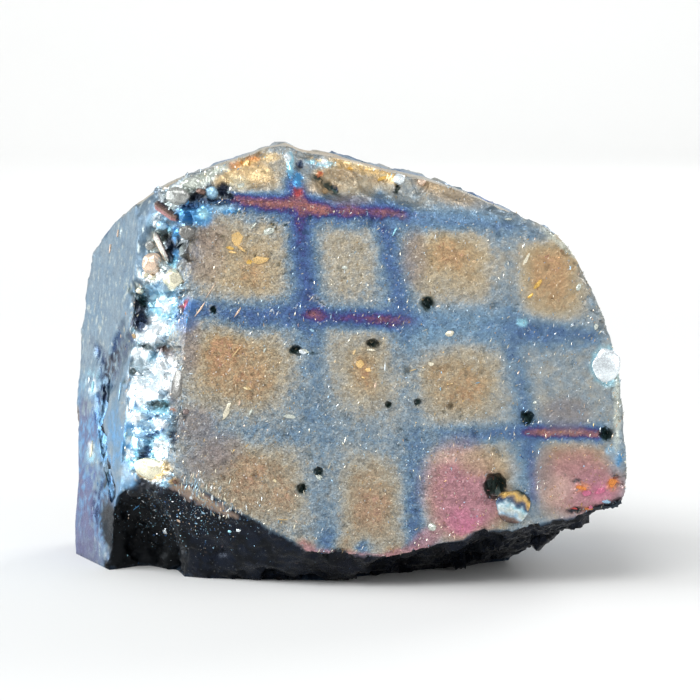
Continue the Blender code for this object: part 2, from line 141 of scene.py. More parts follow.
# Warm or cool spots inside the cells: x, z, radius, film value, strength.
SPOTS = (
    (-8.8, 28.7, 1.9, 0.19, 0.9), (-11.9, 30.3, 1.7, 0.33, 0.7), (-11.2, 31.9, 1.5, 0.3, 0.6),
    (8.3, 30.6, 1.4, 0.15, 0.8), (9.9, 30.2, 1.3, 0.15, 0.8), (18.1, 29.2, 2, 0.15, 0.9),
    (18.5, 26.4, 1.5, 0.2, 0.6), (-11.7, 21, 2, 0.155, 0.9), (-12, 22.5, 1, 0.17, 0.8),
    (-9.1, 18.4, 1.8, 0.18, 0.7), (-7.3, 21, 1.4, 0.26, 0.7), (1.2, 20.4, 1.1, 0.13, 0.7),
    (1.9, 19.1, 1.5, 0.15, 0.8), (3.8, 19.3, 1.3, 0.42, 0.8), (10.6, 18.4, 1.9, 0.18, 0.8),
    (8.2, 19.6, 1.5, 0.24, 0.7), (-9, 10.1, 2.4, 0.18, 0.8), (-5.5, 8.5, 1.3, 0.17, 0.8),
    (1.9, 7.3, 2, 0.15, 0.9), (0.5, 10.3, 1.4, 0.22, 0.6), (0, 13, 1.8, 0.36, 0.5),
    (10.1, 10.3, 1.5, 0.02, 0.9), (10.1, 6.4, 1.6, 0, 0.9), (12.1, 11.7, 1.2, 0.24, 0.8),
    (8.2, 8.3, 1.5, 0.05, 0.7), (21.5, 9.5, 1.3, 0.06, 0.9), (18.8, 11, 1.2, 0.14, 0.6),
    (20.6, 11.7, 1.3, 0.2, 0.6), (16.9, 17.1, 1, 0.38, 0.6), (-10.4, 38.5, 1, 0.16, 0.9),
    (-8.8, 39.2, 0.9, 0.16, 0.9), (-0.9, 38.4, 1.6, 0.2, 0.8), (2.9, 37.7, 1.5, 0.2, 0.8),
    (-2.7, 38, 0.5, 0.02, 0.9), (-3.1, 38.9, 0.9, 0.52, 0.9), (8.8, 27.5, 1.6, 0.4, 0.7),
    (-13.7, 17.8, 1.3, 0.3, 0.6), (6.4, 35.1, 1.6, 0.42, 0.6), (16.1, 24.4, 0.7, 0.47, 0.8),
    (9.1, 23.4, 0.8, 0.4, 0.5), (-4.8, 36.1, 0.5, 1, 0.9), (-4.2, 3.9, 0.9, 0.04, 0.8),
    (5.7, 29.9, 1.4, 0.42, 0.7), (-0.5, 3.2, 1.4, 0.05, 0.8), (4.1, 3.3, 1.2, 0.07, 0.8),
    (1.2, 4, 0.6, 0.7, 0.8), (-13.7, 31, 1, 0.44, 0.7), (-5.3, 30.4, 0.8, 0.5, 0.6),
    (-13.7, 23.7, 1, 0.4, 0.5), (23.2, 17.4, 1, 0.46, 0.7),
)

# Screen colours, 0 to 255, of places that differ from the film's own colour.
TINTS = {
    "white": (238, 246, 250), "cyan": (166, 224, 242), "ice": (160, 200, 226), "azure": (78, 150, 204),
    "blue": (58, 104, 160), "deep": (26, 58, 100), "navy": (10, 22, 44), "black": (5, 9, 13),
    "green": (24, 48, 45), "cream": (240, 232, 208), "pale": (206, 212, 202), "peach": (236, 208, 184),
    "brown": (118, 92, 82), "copper": (186, 108, 86), "mauve": (135, 119, 116), "slate": (104, 132, 152),
    "grey": (124, 122, 118), "gold": (228, 184, 96), "orange": (226, 140, 70), "rose": (182, 126, 132),
    "sand": (218, 190, 142), "pink": (212, 118, 150), "red": (170, 62, 60), "violet": (84, 84, 122),
    "purple": (96, 62, 140), "straw": (208, 176, 118), "tan": (184, 158, 122), "stone": (168, 170, 166),
    "dusk": (62, 80, 94), "sky": (118, 152, 178), "butter": (244, 228, 186), "amber": (238, 200, 136),
    "ivory": (250, 244, 216),
}

# The tints of places that lie a little deeper than what is round them; their dark colour is mostly painted
# shade.
DEEP_TINTS = ("deep", "navy", "green", "black")

# Places with a tint of their own, or with painted highlight or painted shade, in groups: tint, cover,
# softness of the edge, gloss (or None), kept grain, and ovals with x, z, half width, half height and
# sometimes a turn. Later groups lie over earlier ones.
PLACES = (
    ("rose", 0.85, 0.45, None, 1, ((10, 9.4, 3.1, 3.7), (11, 7.2, 3.2, 2, 25), (22.5, 9, 2.4, 2))),
    ("rose", 0.7, 0.5, None, 1, ((20.8, 9.7, 3.6, 3, -10),)),
    ("peach", 0.35, 0.6, None, 1, ((19, 9.4, 1.5, 1.3), (9.6, 12.1, 2.2, 0.5, 5))),
    ("rose", 0.75, 0.4, None, 1, (
        (-0.5, 3.1, 4.5, 0.55, -4), (4.6, 3.4, 2.6, 0.5, 12), (6.9, 4.6, 1.6, 0.9, 35),
        (-3.7, 3.7, 1.2, 0.6, -35))),
    ("tan", 0.6, 0.5, None, 1, (
        (11.9, 11.7, 1.8, 1.2), (14.2, 11, 1.2, 0.8), (9.1, 36.2, 3, 0.9, -20), (7.3, 37, 1.5, 0.6, -20),
        (-2.7, 36.7, 1.4, 0.6))),
    ("sky", 0.45, 0.7, None, 1, (
        (10.2, 24.2, 4.5, 1.7), (9.1, 33.8, 5, 0.9, 4), (6.9, 22.6, 2, 1.5), (24.4, 12.4, 0.8, 1.4),
        (15.5, 10.5, 0.9, 2))),
    ("pink", 0.5, 0.5, None, 0.8, ((10.1, 6.4, 1.2, 1.2), (22.9, 9, 1, 0.8), (11, 6, 1.4, 0.5, 30))),
    ("mauve", 0.55, 0.45, None, 1, (
        (-13.3, 30.3, 1.8, 2.2), (-14.6, 22.4, 0.9, 2.6), (-16.1, 18.8, 0.7, 1.9), (-14.1, 15.1, 1.9, 1.7),
        (-11.6, 13, 1.8, 1.4), (-13.1, 11.7, 2.2, 1.6), (5.9, 30.3, 1.2, 2.4), (17.8, 11.2, 0.9, 2),
        (0, 35.5, 2, 0.5), (-12.6, 32.4, 1.5, 1.2), (-16.9, 21.5, 0.9, 0.5), (19.7, 16, 2.2, 1.6))),
    ("slate", 0.6, 0.4, 0.45, 0.4, (
        (-21.7, 13.7, 1.6, 6.5), (-21, 11, 1.2, 2.6), (-21.2, 17.4, 1.2, 3, 10))),
    ("violet", 0.8, 0.45, 0.5, 0.5, ((-24, 6.9, 2.2, 5), (-24.3, 10.1, 1.4, 4), (-23.9, 15.5, 1, 2.4))),
    ("blue", 0.7, 0.4, 0.7, 0.2, (
        (-23.2, 16.6, 0.45, 2), (-23.8, 11, 0.5, 1.6), (-15, 25, 1.1, 1.4), (-21, 35.5, 0.8, 0.4, 40))),
    ("ice", 0.8, 0.4, 0.9, 0.2, (
        (-12.1, 34.9, 1.5, 0.45), (-17.6, 33.5, 0.9, 0.9), (-16.2, 33, 0.4, 0.5), (-17.4, 26.4, 1.8, 1.6),
        (-18.3, 15.1, 2.2, 1.6), (-16.9, 24.4, 1, 1.2), (-18.3, 13.7, 2, 1, 20), (-18.3, 16, 2, 0.8),
        # The ice oval on the right rim, below, is a painted blue glint.
        (23.7, 12.8, 0.5, 0.3, 20))),
    # Painted highlight: the bright cyan glow on the left face.
    ("cyan", 0.7, 0.5, 0.9, 0.2, ((-23.4, 18.8, 0.9, 1.2), (-23.5, 12.4, 0.6, 0.9))),
    ("azure", 0.95, 0.35, 0.9, 0.2, (
        (-14.4, 34.3, 1.9, 0.95, 12), (-13.4, 33.9, 0.8, 0.8), (-16.1, 30.4, 0.45, 0.9),
        (-10.9, 34.4, 0.9, 0.3), (-15.9, 32.6, 0.4, 0.5), (-22.9, 9.7, 0.3, 0.5),
        # The azure oval at 24.6, 12 on the right rim is a painted blue glint.
        (-21.9, 12.6, 0.25, 1.4, 10), (-5.5, 38.4, 0.3, 1), (-4.8, 37.3, 0.4, 0.8), (24.6, 12, 0.3, 0.7))),
    ("sand", 0.8, 0.4, 0.6, 0.5, (
        (-10.4, 38.6, 1.2, 0.6, 10), (-0.5, 38.6, 2, 0.35, -8), (3.1, 37.6, 1.3, 0.4, -20),
        (-7.3, 39.4, 0.9, 0.4, 5), (-8.4, 37.9, 1.3, 0.8), (1.3, 38.1, 0.9, 0.3, -15),
        (-11.4, 37.4, 1.2, 0.5, 20))),
    # Painted highlights, mostly: bright cyan glints on the corner, the top edge and the front.
    ("cyan", 0.9, 0.35, 1, 0.15, (
        (-13.4, 34.3, 0.5, 0.5), (-5.5, 38.9, 0.35, 1), (-2.6, 38.9, 1.2, 0.3, -8), (-17.1, 25.9, 1.1, 1.2),
        (-19.2, 17.5, 1.3, 0.5), (-16.2, 29.9, 0.35, 0.5), (-17.6, 13, 0.7, 1.2),
        (-19.9, 12.6, 0.6, 1.6, 10), (15.8, 24.4, 0.5, 0.35), (-17.2, 16.4, 0.9, 0.3))),
    # Painted highlight: the cyan glow round the bright facet on the right rim.
    ("cyan", 0.9, 0.3, 1, 0.1, ((23.6, 20.4, 1.5, 1.75, 8),)),
    # Partly the chips' own pale colour, partly painted highlight along the rims.
    ("pale", 0.85, 0.4, 0.7, 0.4, (
        (-13.7, 37.3, 1.7, 0.6, 24), (-15.7, 35.9, 1, 0.8), (-11.7, 38.4, 1.6, 0.35, 24),
        (-17.4, 32.3, 0.8, 0.7), (-19.7, 25.1, 0.3, 1.5), (22.9, 26.4, 0.35, 3, 20), (24.4, 16.4, 0.3, 4),
        (19.2, 31.6, 2.2, 0.3, -40))),
    # Painted highlights: the blown white of the lit ledges in the corner, bright spots on the top edge and
    # the left face, and the bright facet on the right rim.
    ("white", 0.97, 0.3, 1, 0.1, (
        (-17.6, 33.7, 0.42, 0.5), (-18, 28.5, 1.1, 0.5), (-17, 26, 0.7, 0.8), (-18.2, 23.7, 1.5, 1.3, 25),
        (-19.1, 21.3, 0.9, 0.9), (-18.1, 19.4, 2, 1.2), (-18.6, 18.4, 1.9, 1.3), (-17, 20.4, 1.1, 0.8),
        (-19.6, 17.1, 1, 0.4), (-17.4, 13.1, 0.6, 0.9), (-20.1, 13, 0.4, 1), (-19.7, 15.7, 0.7, 0.6),
        (-17.4, 15.2, 0.6, 0.5), (-23.5, 18.7, 0.55, 0.7), (-23.6, 12.9, 0.3, 0.7),
        (-10.1, 36.8, 0.75, 0.45, -20), (-2.6, 38.9, 0.7, 0.16, -8), (-5.7, 39.4, 0.3, 0.4),
        (23.5, 20.5, 1, 1.3))),
    ("gold", 0.85, 0.35, 1, 0.3, ((-18, 10.9, 1.6, 0.9, 14), (-16, 9.9, 0.5, 0.4))),
    ("butter", 0.9, 0.35, 1, 0.2, ((-18.1, 11.1, 1.3, 0.65, 14),)),
    ("amber", 0.8, 0.4, 0.7, 0.4, (
        (0.2, 39.1, 1.7, 0.38, -8), (2.1, 38.4, 1.5, 0.45, -19), (3.6, 37.7, 0.8, 0.4, -25),
        (-2.9, 39.2, 0.8, 0.12, -5), (-9.6, 38.9, 1.2, 0.3, 12))),
    ("butter", 0.75, 0.4, 0.8, 0.3, (
        (1.1, 38.7, 1.6, 0.16, -14), (3.3, 37.7, 0.7, 0.18, -25), (-10.2, 37.1, 1, 0.7, -20))),
    ("orange", 0.6, 0.4, None, 0.6, (
        (-10.5, 38.7, 0.6, 0.35, 10), (-2.7, 38, 0.35, 0.3), (21.2, 9.4, 0.7, 0.4, 10), (24, 9.7, 0.5, 0.6),
        (-16.1, 16.5, 0.18, 0.18), (21.5, 7.4, 1.2, 0.2, 5), (-8.8, 39.3, 0.5, 0.25))),
    ("red", 0.8, 0.4, None, 0.6, (
        (-2.7, 38, 0.22, 0.2), (-4.8, 36.2, 0.35, 0.45), (-15.2, 25.9, 0.2, 0.8, -30))),
    ("brown", 0.8, 0.35, 0.5, 0.5, (
        (-13, 36.4, 0.5, 0.3), (-17.1, 22, 0.7, 0.28), (-0.5, 2.3, 3.6, 0.7), (-15.8, 9.9, 0.4, 0.5))),
    # Painted shade, mostly: the deep, navy and green groups darken gaps and cracks in the corner and along
    # the left edge, and slits and pits on the front.
    ("deep", 0.9, 0.35, 0.8, 0.2, (
        (-22.5, 20.8, 0.5, 1.9, 25), (-23, 16.9, 0.3, 1.4), (-18.8, 12.4, 0.5, 0.95, -35),
        (-14.6, 35, 1, 0.35), (-12.5, 35.4, 1.6, 0.3, -4), (-17.8, 14.4, 1.3, 0.14, 25),
        (-18.3, 15.7, 1.1, 0.12, 15), (-4.6, 38.7, 0.35, 0.35), (-19.2, 24.4, 0.7, 0.8),
        (-1.5, 36.6, 0.5, 0.2, -30), (-21.4, 22.4, 0.35, 2.2, -18), (-20.4, 22.6, 0.5, 1.1, -40),
        (-21.2, 21.4, 0.7, 1.3, -25), (-22, 19.6, 0.9, 1.8, -20), (-22.6, 17.2, 0.4, 1.6, -8),
        (-22.5, 8.3, 0.9, 2.4, -10))),
    ("navy", 0.95, 0.3, 0.6, 0.2, (
        (-11.7, 36.5, 0.55, 0.75, -20), (-11.3, 36, 0.7, 0.3, -25), (-14, 35.8, 0.7, 0.4, 10),
        (-16.4, 31.5, 0.6, 0.9), (-16.4, 30.4, 0.3, 0.7), (-19.3, 25.7, 0.75, 1.2, 10),
        (-19.7, 24.4, 0.4, 0.8), (-20.8, 22.2, 0.22, 1.2, -35), (-21.8, 20.4, 0.6, 1.5, -20),
        (-22.3, 18.3, 0.3, 1.2, -10), (-16.1, 14, 0.4, 0.7), (-4.6, 38.5, 0.3, 0.25),
        (-18.9, 12, 0.35, 0.5, -35))),
    ("green", 0.92, 0.3, 0.5, 0.3, (
        (-19.5, 27.4, 0.7, 0.7), (-18.9, 26.4, 0.5, 0.6), (-18.5, 22.2, 0.8, 0.3, -8),
        (-17.5, 16.9, 1.2, 0.36), (-20.5, 18.8, 0.22, 0.6), (-7, 33.2, 0.55, 0.16, -48),
        (-8.6, 30.6, 0.35, 0.12, 50), (-6.5, 29.6, 0.4, 0.17, -60), (-2.8, 26.4, 0.9, 0.14, -35),
        (-3.9, 21.7, 1.1, 0.12, -8), (-3, 37.5, 0.6, 0.26, -25), (-2, 36.8, 0.9, 0.3, -36),
        (-1.4, 36.3, 0.6, 0.22, -40), (4.3, 36.6, 0.3, 0.5), (-5.9, 33.2, 0.3, 0.16, -30),
        (20.8, 10, 0.5, 0.14), (2.1, 22.5, 0.68, 0.28, -4), (-4.8, 21.9, 0.5, 0.35, -30),
        (-8, 33.9, 0.5, 0.1, 15), (-9.7, 30.8, 0.4, 0.1, 30), (-11.7, 32.2, 0.3, 0.12),
        (-22.8, 15.1, 0.15, 1.6), (-22.5, 12.8, 0.12, 1.8, -8), (-22.2, 10.4, 0.16, 1.4, -10),
        (-15.5, 25.5, 0.2, 0.5), (-19.9, 19.9, 0.3, 0.3), (-10.1, 34.4, 0.7, 0.12, -10))),
    # Painted shade: black under the right and left edges and in dark spots low on the front.
    ("black", 0.97, 0.3, 0.3, 0.3, (
        (23.1, 7.4, 1.7, 0.5, 12), (24.6, 7.6, 0.9, 0.8), (20.6, 7.3, 0.8, 0.25, 5),
        (-21.9, 5.7, 0.9, 2.6, 8), (-0.9, 3.5, 0.7, 0.35, -10), (-3.5, 3.2, 0.7, 0.3))),
)

# Beads and pebbles: x, z, radii across, up and deep, turn, tint. The white beads at 4.5, 37.4 on the top edge
# and at 23.5, 20.5 on the right rim, and the small white and cyan ones low down at z 5.4 to 5.5, are painted
# highlights: bright glints of facets.
BEADS = (
    (-17.9, 29.7, 1, 0.96, 0.8, 0, "peach"), (-16, 28.3, 1, 1, 0.8, 0, "ivory"),
    (-18.1, 11.1, 1.7, 1, 0.6, 14, "ivory"), (-12.6, 36.2, 0.66, 0.62, 0.5, 0, "ice"),
    (-15.6, 35.9, 1.1, 0.85, 0.6, 0, "stone"), (-14.8, 32.6, 0.8, 0.7, 0.5, 10, "grey"),
    (-17.6, 33.5, 0.5, 0.55, 0.4, 10, "white"), (-17.1, 33.2, 0.6, 0.5, 0.4, 0, "ice"),
    (-18.2, 31.4, 0.45, 0.5, 0.4, 0, "stone"), (-13.6, 36.3, 0.5, 0.3, 0.35, 15, "brown"),
    (-14.5, 37, 0.9, 0.5, 0.4, 20, "pale"), (-19.2, 27.3, 0.34, 0.34, 0.3, 0, "cream"),
    (-7.4, 32.7, 0.5, 0.34, 0.2, -20, "pale"), (4.5, 37.4, 0.55, 0.6, 0.4, 0, "white"),
    (6.5, 37.1, 0.42, 0.36, 0.3, 0, "peach"), (9.1, 23.4, 0.42, 0.26, 0.16, -20, "cream"),
    (-4.3, 21.7, 0.4, 0.2, 0.16, 20, "white"), (-15.8, 18.8, 0.8, 1.4, 0.24, 4, "grey"),
    (-17.6, 21.9, 0.2, 0.14, 0.12, 0, "white"), (20.9, 27.6, 0.22, 0.36, 0.2, 20, "pale"),
    (22.5, 24, 0.2, 0.36, 0.2, 15, "pale"), (-18, 28.5, 0.5, 0.32, 0.3, 0, "cream"),
    (-17.2, 28.4, 0.36, 0.3, 0.25, 0, "white"), (-18.7, 28.8, 0.3, 0.34, 0.25, 0, "cream"),
    (23.5, 20.5, 1.25, 1.5, 0.45, 8, "white"), (-15, 16.3, 0.3, 0.26, 0.2, 0, "mauve"),
    (-2.9, 10.3, 0.32, 0.14, 0.12, 40, "pale"), (-11, 5.4, 0.2, 0.14, 0.12, 0, "cyan"),
    (-16.9, 5.4, 0.4, 0.3, 0.22, 0, "white"), (-10.2, 5.5, 0.22, 0.16, 0.14, 0, "white"),
    (-16.4, 32.9, 0.3, 0.34, 0.25, 0, "cyan"), (-15, 35.4, 0.4, 0.3, 0.25, 0, "azure"),
    (7.5, 5.8, 0.4, 0.36, 0.25, 0, "pale"),
)

# Flat flakes and rods: x, z, half width, half height, turn, tint.
FLAKES = (
    (-10.3, 32, 0.66, 0.62, 20, "amber"), (-8.3, 30.1, 1.1, 0.42, -8, "amber"),
    (-10.7, 30.8, 0.5, 0.12, 8, "amber"), (-9.9, 31.1, 0.6, 0.12, 38, "amber"),
    (-11, 31.2, 0.4, 0.16, 15, "gold"), (-9.2, 29.9, 0.3, 0.2, 0, "gold"),
    (-11.2, 16.5, 0.2, 1.15, 22, "cream"), (-11.3, 16.2, 0.24, 0.6, 22, "cream"),
    (-9.1, 16.2, 0.1, 0.5, 25, "pale"), (-5.5, 15.9, 0.65, 0.22, 10, "pale"),
    (-4.1, 21.8, 0.45, 0.24, 10, "pale"), (1.2, 19.4, 0.2, 0.12, 20, "amber"),
    (-9.6, 18.4, 0.3, 0.1, 35, "butter"), (-10.5, 21.6, 0.06, 0.85, 37, "sand"),
    (-8.8, 33.2, 0.08, 0.5, 42, "pale"), (2, 21.9, 0.45, 0.13, 2, "cream"),
    (0.4, 21.7, 0.09, 0.4, 25, "sand"), (3.2, 20.4, 0.06, 0.45, 3, "white"),
    (2.3, 18.7, 0.1, 0.35, 12, "peach"), (5.8, 20.1, 0.5, 0.07, -20, "sand"),
    (7.4, 20.6, 0.28, 0.2, 25, "cream"), (9.1, 18.8, 0.4, 0.06, -15, "sand"),
    (-12.8, 27.2, 0.05, 1.1, 32, "peach"), (-3.5, 23.7, 0.3, 0.12, 30, "ice"),
    (-7.8, 21.9, 0.12, 0.3, 30, "pale"), (-10.1, 17.1, 0.1, 0.3, 10, "peach"),
    (-9.3, 18.4, 0.26, 0.14, 30, "sand"), (0.9, 20.6, 0.5, 0.36, -30, "amber"),
    (1.6, 20.1, 0.36, 0.2, 0, "amber"), (-6.9, 10, 0.2, 0.12, 50, "butter"),
    (-6.2, 6.5, 0.6, 0.05, 5, "sand"), (-2.7, 10.4, 0.3, 0.1, 35, "pale"),
    (-5.1, 5.8, 0.08, 0.3, 20, "cream"), (16.1, 30.1, 0.18, 0.75, 28, "cream"),
    (17.2, 27.9, 0.2, 0.62, 40, "gold"), (16.5, 26.8, 0.16, 0.5, 45, "gold"),
    (21.2, 9.4, 0.6, 0.2, 15, "orange"), (22.9, 9.1, 0.55, 0.24, -20, "pink"),
    (24, 9.8, 0.4, 0.45, 30, "orange"), (21.9, 7.5, 0.6, 0.14, 8, "orange"),
    (23.5, 8.1, 0.45, 0.2, 0, "ice"), (20.5, 7.5, 0.4, 0.12, 5, "red"), (4.1, 32.7, 0.1, 0.6, 30, "cyan"),
    (-13.7, 25.6, 0.09, 0.9, 35, "peach"), (-10.2, 25.4, 0.09, 0.7, 35, "peach"),
    (-19.7, 23.2, 0.22, 0.36, -30, "tan"), (14.5, 33.8, 0.35, 0.12, 0, "pale"),
    (-14.9, 24.6, 0.06, 0.4, 5, "azure"), (-15.9, 24.9, 0.06, 0.3, 5, "azure"),
    (16.9, 17.1, 0.2, 0.14, 0, "pale"), (-0.5, 29.4, 0.26, 0.18, 0, "pale"),
    (-10.1, 36.8, 0.6, 0.3, -20, "pale"), (-23.5, 18.6, 0.42, 0.6, 0, "cyan"),
    (-23.8, 19.2, 0.3, 0.4, 30, "white"), (2.9, 37.5, 0.6, 0.25, -25, "gold"),
    (0, 38.4, 0.9, 0.2, -8, "gold"), (-2.3, 36.3, 0.5, 0.3, -20, "tan"), (-16, 9.9, 0.35, 0.2, 20, "brown"),
    (21.6, 8.9, 0.5, 0.28, -10, "pink"), (22, 7.6, 0.3, 0.3, 0, "pink"), (-21, 18.1, 0.2, 0.9, 0, "ice"),
    (-21.9, 31.1, 0.2, 0.5, 10, "peach"), (-14.5, 8.5, 0.16, 0.2, 10, "white"),
    (-13.8, 8.6, 0.1, 0.25, 0, "cream"), (-13.1, 9.4, 0.08, 0.35, -5, "pale"),
    (-12.6, 8.5, 0.15, 0.36, 0, "white"), (-12.3, 10.9, 0.06, 0.3, 10, "cream"),
    (-11.8, 7.4, 0.08, 0.2, 0, "peach"), (-11.4, 8.3, 0.12, 0.3, -15, "cream"),
    (-11.1, 7.3, 0.08, 0.15, 0, "pale"), (-11, 9.9, 0.06, 0.35, 15, "pale"),
    (-19.4, 7.7, 0.05, 0.8, 50, "azure"), (-15.7, 6.4, 0.3, 0.12, 40, "peach"),
    (-13.4, 7.1, 0.25, 0.1, 20, "ice"), (-21.2, 32.5, 0.2, 0.4, 10, "peach"),
    (-23.6, 12.9, 0.3, 0.9, 10, "cream"),
)

# Prisms in the broken corner: the two ends, half width, and tints of the upper side, ridge and lower side.
RODS = (
    ((-17.7, 35.2), (-15.7, 33.8), 0.5, "navy", "brown", "rose"),
    ((-17.8, 32.5), (-16.6, 29.9), 0.3, "mauve", "pale", "peach"),
    ((-15.5, 32.9), (-14.3, 32.2), 0.5, "slate", "grey", "grey"),
)

# The middle of the nugget in the largest pit, x and z in mm, and its bands: the heights and their tints. The
# navy band at its foot is painted shade.
NUGGET = (14.9, 7.6)
NUGGET_BANDS = (
    (-1.9, -1.4, -1.1, -0.8, -0.5, -0.2, 0.1, 0.4, 0.65, 0.85, 1.15, 1.5),
    ("navy", "brown", "mauve", "ice", "pale", "cyan", "slate", "deep", "tan", "gold", "straw", "green"),
)

# Small bodies in the broken corner look outwards from it.
CORNER_LOOKS = np.array((-0.35, -0.93, 0.1))

# How many splinters and bright grains the front has, how many small quartz points are tried on the back and
# over the rough skin, and the sparkling chips with the share of each tint.
GRAIN_COUNT = 5200
BRIGHT_GRAIN_COUNT = 420
BACK_POINT_COUNT = 420
SKIN_POINT_COUNT = 1500
CHIP_COUNT = 1700
CHIP_TINTS = ("white", "cyan", "ice", "blue", "slate", "peach")
CHIP_SHARES = (0.14, 0.08, 0.2, 0.16, 0.34, 0.08)

# The edge between the left face and the broken corner as the camera sees it, from the foot up: z and x in mm.
LEFT_EDGE = (
    (8.3, -20.8), (13.7, -20.9), (18.3, -20.8), (22.4, -20.5), (25.5, -19.8), (27.8, -19.1), (30.3, -18.6),
    (32.8, -18), (35.9, -17.6),
)
# The edge between the broken corner and the front.
FRONT_EDGE = (
    (9.2, -16.1), (11.9, -16.6), (13.7, -16.4), (15.5, -16.3), (17.4, -16.6), (19.4, -16.7), (21, -17),
    (22.2, -17.3), (23.7, -16.5), (25.9, -16), (27.8, -15.4), (29.9, -15.5), (31.4, -15), (32.8, -14.4),
    (33.6, -12.7), (35.1, -12.4), (35.9, -11.3), (36.6, -10.1),
)

# The worn seam between the front and the hollow under it: x, z and half width.
SEAM = ((-16.3, 9.7, 0.4), (-14.0, 8.6, 0.65), (-12.4, 7.7, 0.45), (-10.2, 6.5, 0.1))

# The darkest place under the front, painted black as shade: x, z, half width and half height.
HOLLOW = (-19.2, 4.2, 4.2, 4.6)

# Where the sparkling chips are thickest: x, z, and how far they spread sideways and upwards, in mm.
SPARKLE_SPOT = (-14.6, 7.1, 4.6, 2.3)

# Rows of small splinters along edges: how many, how far they scatter, their size, and the row's points.
SPLINTER_ROWS = (
    (150, 0.7, 1.6, ((-15.7, 9.8), (-13.3, 8.8), (-10.1, 7))),
    (70, 0.3, 1, ((19.4, 31.3), (21.4, 27.4), (23.2, 22.8), (24.4, 17.4), (24.8, 11))),
    (60, 0.35, 1, ((-18.3, 31.9), (-19.1, 27.8), (-20.2, 24.2), (-20.6, 19.2), (-20.5, 12.8))),
    (60, 0.5, 1, ((-15.5, 29.9), (-15.5, 26.4), (-15.4, 22.4), (-15.5, 17.4), (-15.7, 11))),
    (50, 0.4, 1, ((-15.1, 36.6), (-11, 38.7), (-5.5, 39.9), (4.6, 38.1))),
)


def plane_distance(points, plane):
    """How far each point is outside a plane, in mm."""
    return (points - np.array(plane[0])) @ np.array(plane[1])


def seen_at(points):
    """Where the line from the camera to each point crosses the plane of the front: x and z in mm."""
    along = points - EYE
    reach = -plane_distance(EYE, FRONT_PLANE) / (along @ FRONT_OUT)
    crossing = EYE + along * reach[:, None]
    return crossing[:, 0], crossing[:, 2]


def lumps(points, size, seed):
    """Smooth noise between about -1 and 1 at each point, in lumps of this size in mm."""
    shift = Vector((seed * 17.31, seed * 5.93, seed * 31.77))
    return np.array([noise.noise(Vector(p) / size + shift) for p in points.tolist()])


def ease(value, start, end):
    """0 before start, 1 after end, and smooth between them."""
    part = np.clip((value - start) / (end - start), 0.0, 1.0)
    return part * part * (3.0 - 2.0 * part)


def oval(x, z, spot, softness):
    """1 inside an oval, 0 outside, with a soft edge. spot is one of the ovals in PLACES."""
    at_x, at_z, half_width, half_height, *turns = spot
    turn = math.radians(sum(turns))
    across = (x - at_x) * math.cos(turn) + (z - at_z) * math.sin(turn)
    up = (z - at_z) * math.cos(turn) - (x - at_x) * math.sin(turn)
    return 1.0 - ease(np.hypot(across / half_width, up / half_height), 1.0 - softness, 1.0 + softness)


# ---------------------------------------------------------------- the stone's mesh

def number_facets(bm):
    """Gives each face the number of the facet it lies in."""
    layer = bm.faces.layers.int.new("facet")
    number = 0
    for first in bm.faces:
        if first[layer]:
            continue
        number += 1
        first[layer] = number
        waiting = [first]
        while waiting:
            face = waiting.pop()
            for other in [other for edge in face.edges for other in edge.link_faces]:
                if not other[layer] and face.normal.angle(other.normal, math.pi) < FACET_TURN:
                    other[layer] = number
                    waiting.append(other)


def cut_into_squares(bm):
    """Cuts the large faces along an even grid, so that they divide into even triangles."""
    for across, low, high in zip(np.eye(3), BOX_LOW / SQUARE, BOX_HIGH / SQUARE):
        for k in range(math.ceil(low), math.floor(high) + 1):
            place = across * (k * SQUARE + SQUARE_SHIFT) * MM
            large = [f for f in bm.faces if f.calc_area() > LARGE_FACE]
            borders = {part for f in large for parts in (f.verts, f.edges) for part in parts}
            geometry = list(borders) + large
            bmesh.ops.bisect_plane(bm, geom=geometry, dist=1e-6, plane_co=place, plane_no=across)


def coarse_mesh():
    """The CAD stone: points in mm, triangles, and each triangle's facet."""
    bm = bmesh.new()
    bm.from_mesh(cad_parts["quartz_cluster"].data)
    bmesh.ops.remove_doubles(bm, verts=bm.verts, dist=1e-6)
    bmesh.ops.dissolve_limit(bm, angle_limit=math.radians(0.6), verts=bm.verts, edges=bm.edges)
    number_facets(bm)
    cut_into_squares(bm)
    on_left = [v for v in bm.verts if abs(plane_distance(np.array(v.co) / MM, LEFT_PLANE)) < 0.03]
    bmesh.ops.remove_doubles(bm, verts=on_left, dist=1e-4)
    bmesh.ops.triangulate(bm, faces=bm.faces)
    layer = bm.faces.layers.int["facet"]
    bm.verts.index_update()
    points = np.array([v.co[:] for v in bm.verts]) / MM
    triangles = np.array([[v.index for v in f.verts] for f in bm.faces])
    facets = np.array([f[layer] for f in bm.faces])
    bm.free()
    return points, triangles, facets


def triangle_facts(points, triangles):
    """Each triangle's middle, normal and area."""
    a, b, c = (points[triangles[:, k]] for k in range(3))
    cross = np.cross(b - a, c - a)
    area = np.linalg.norm(cross, axis=1) / 2.0
    return (a + b + c) / 3.0, cross / np.maximum(2.0 * area, 1e-9)[:, None], area


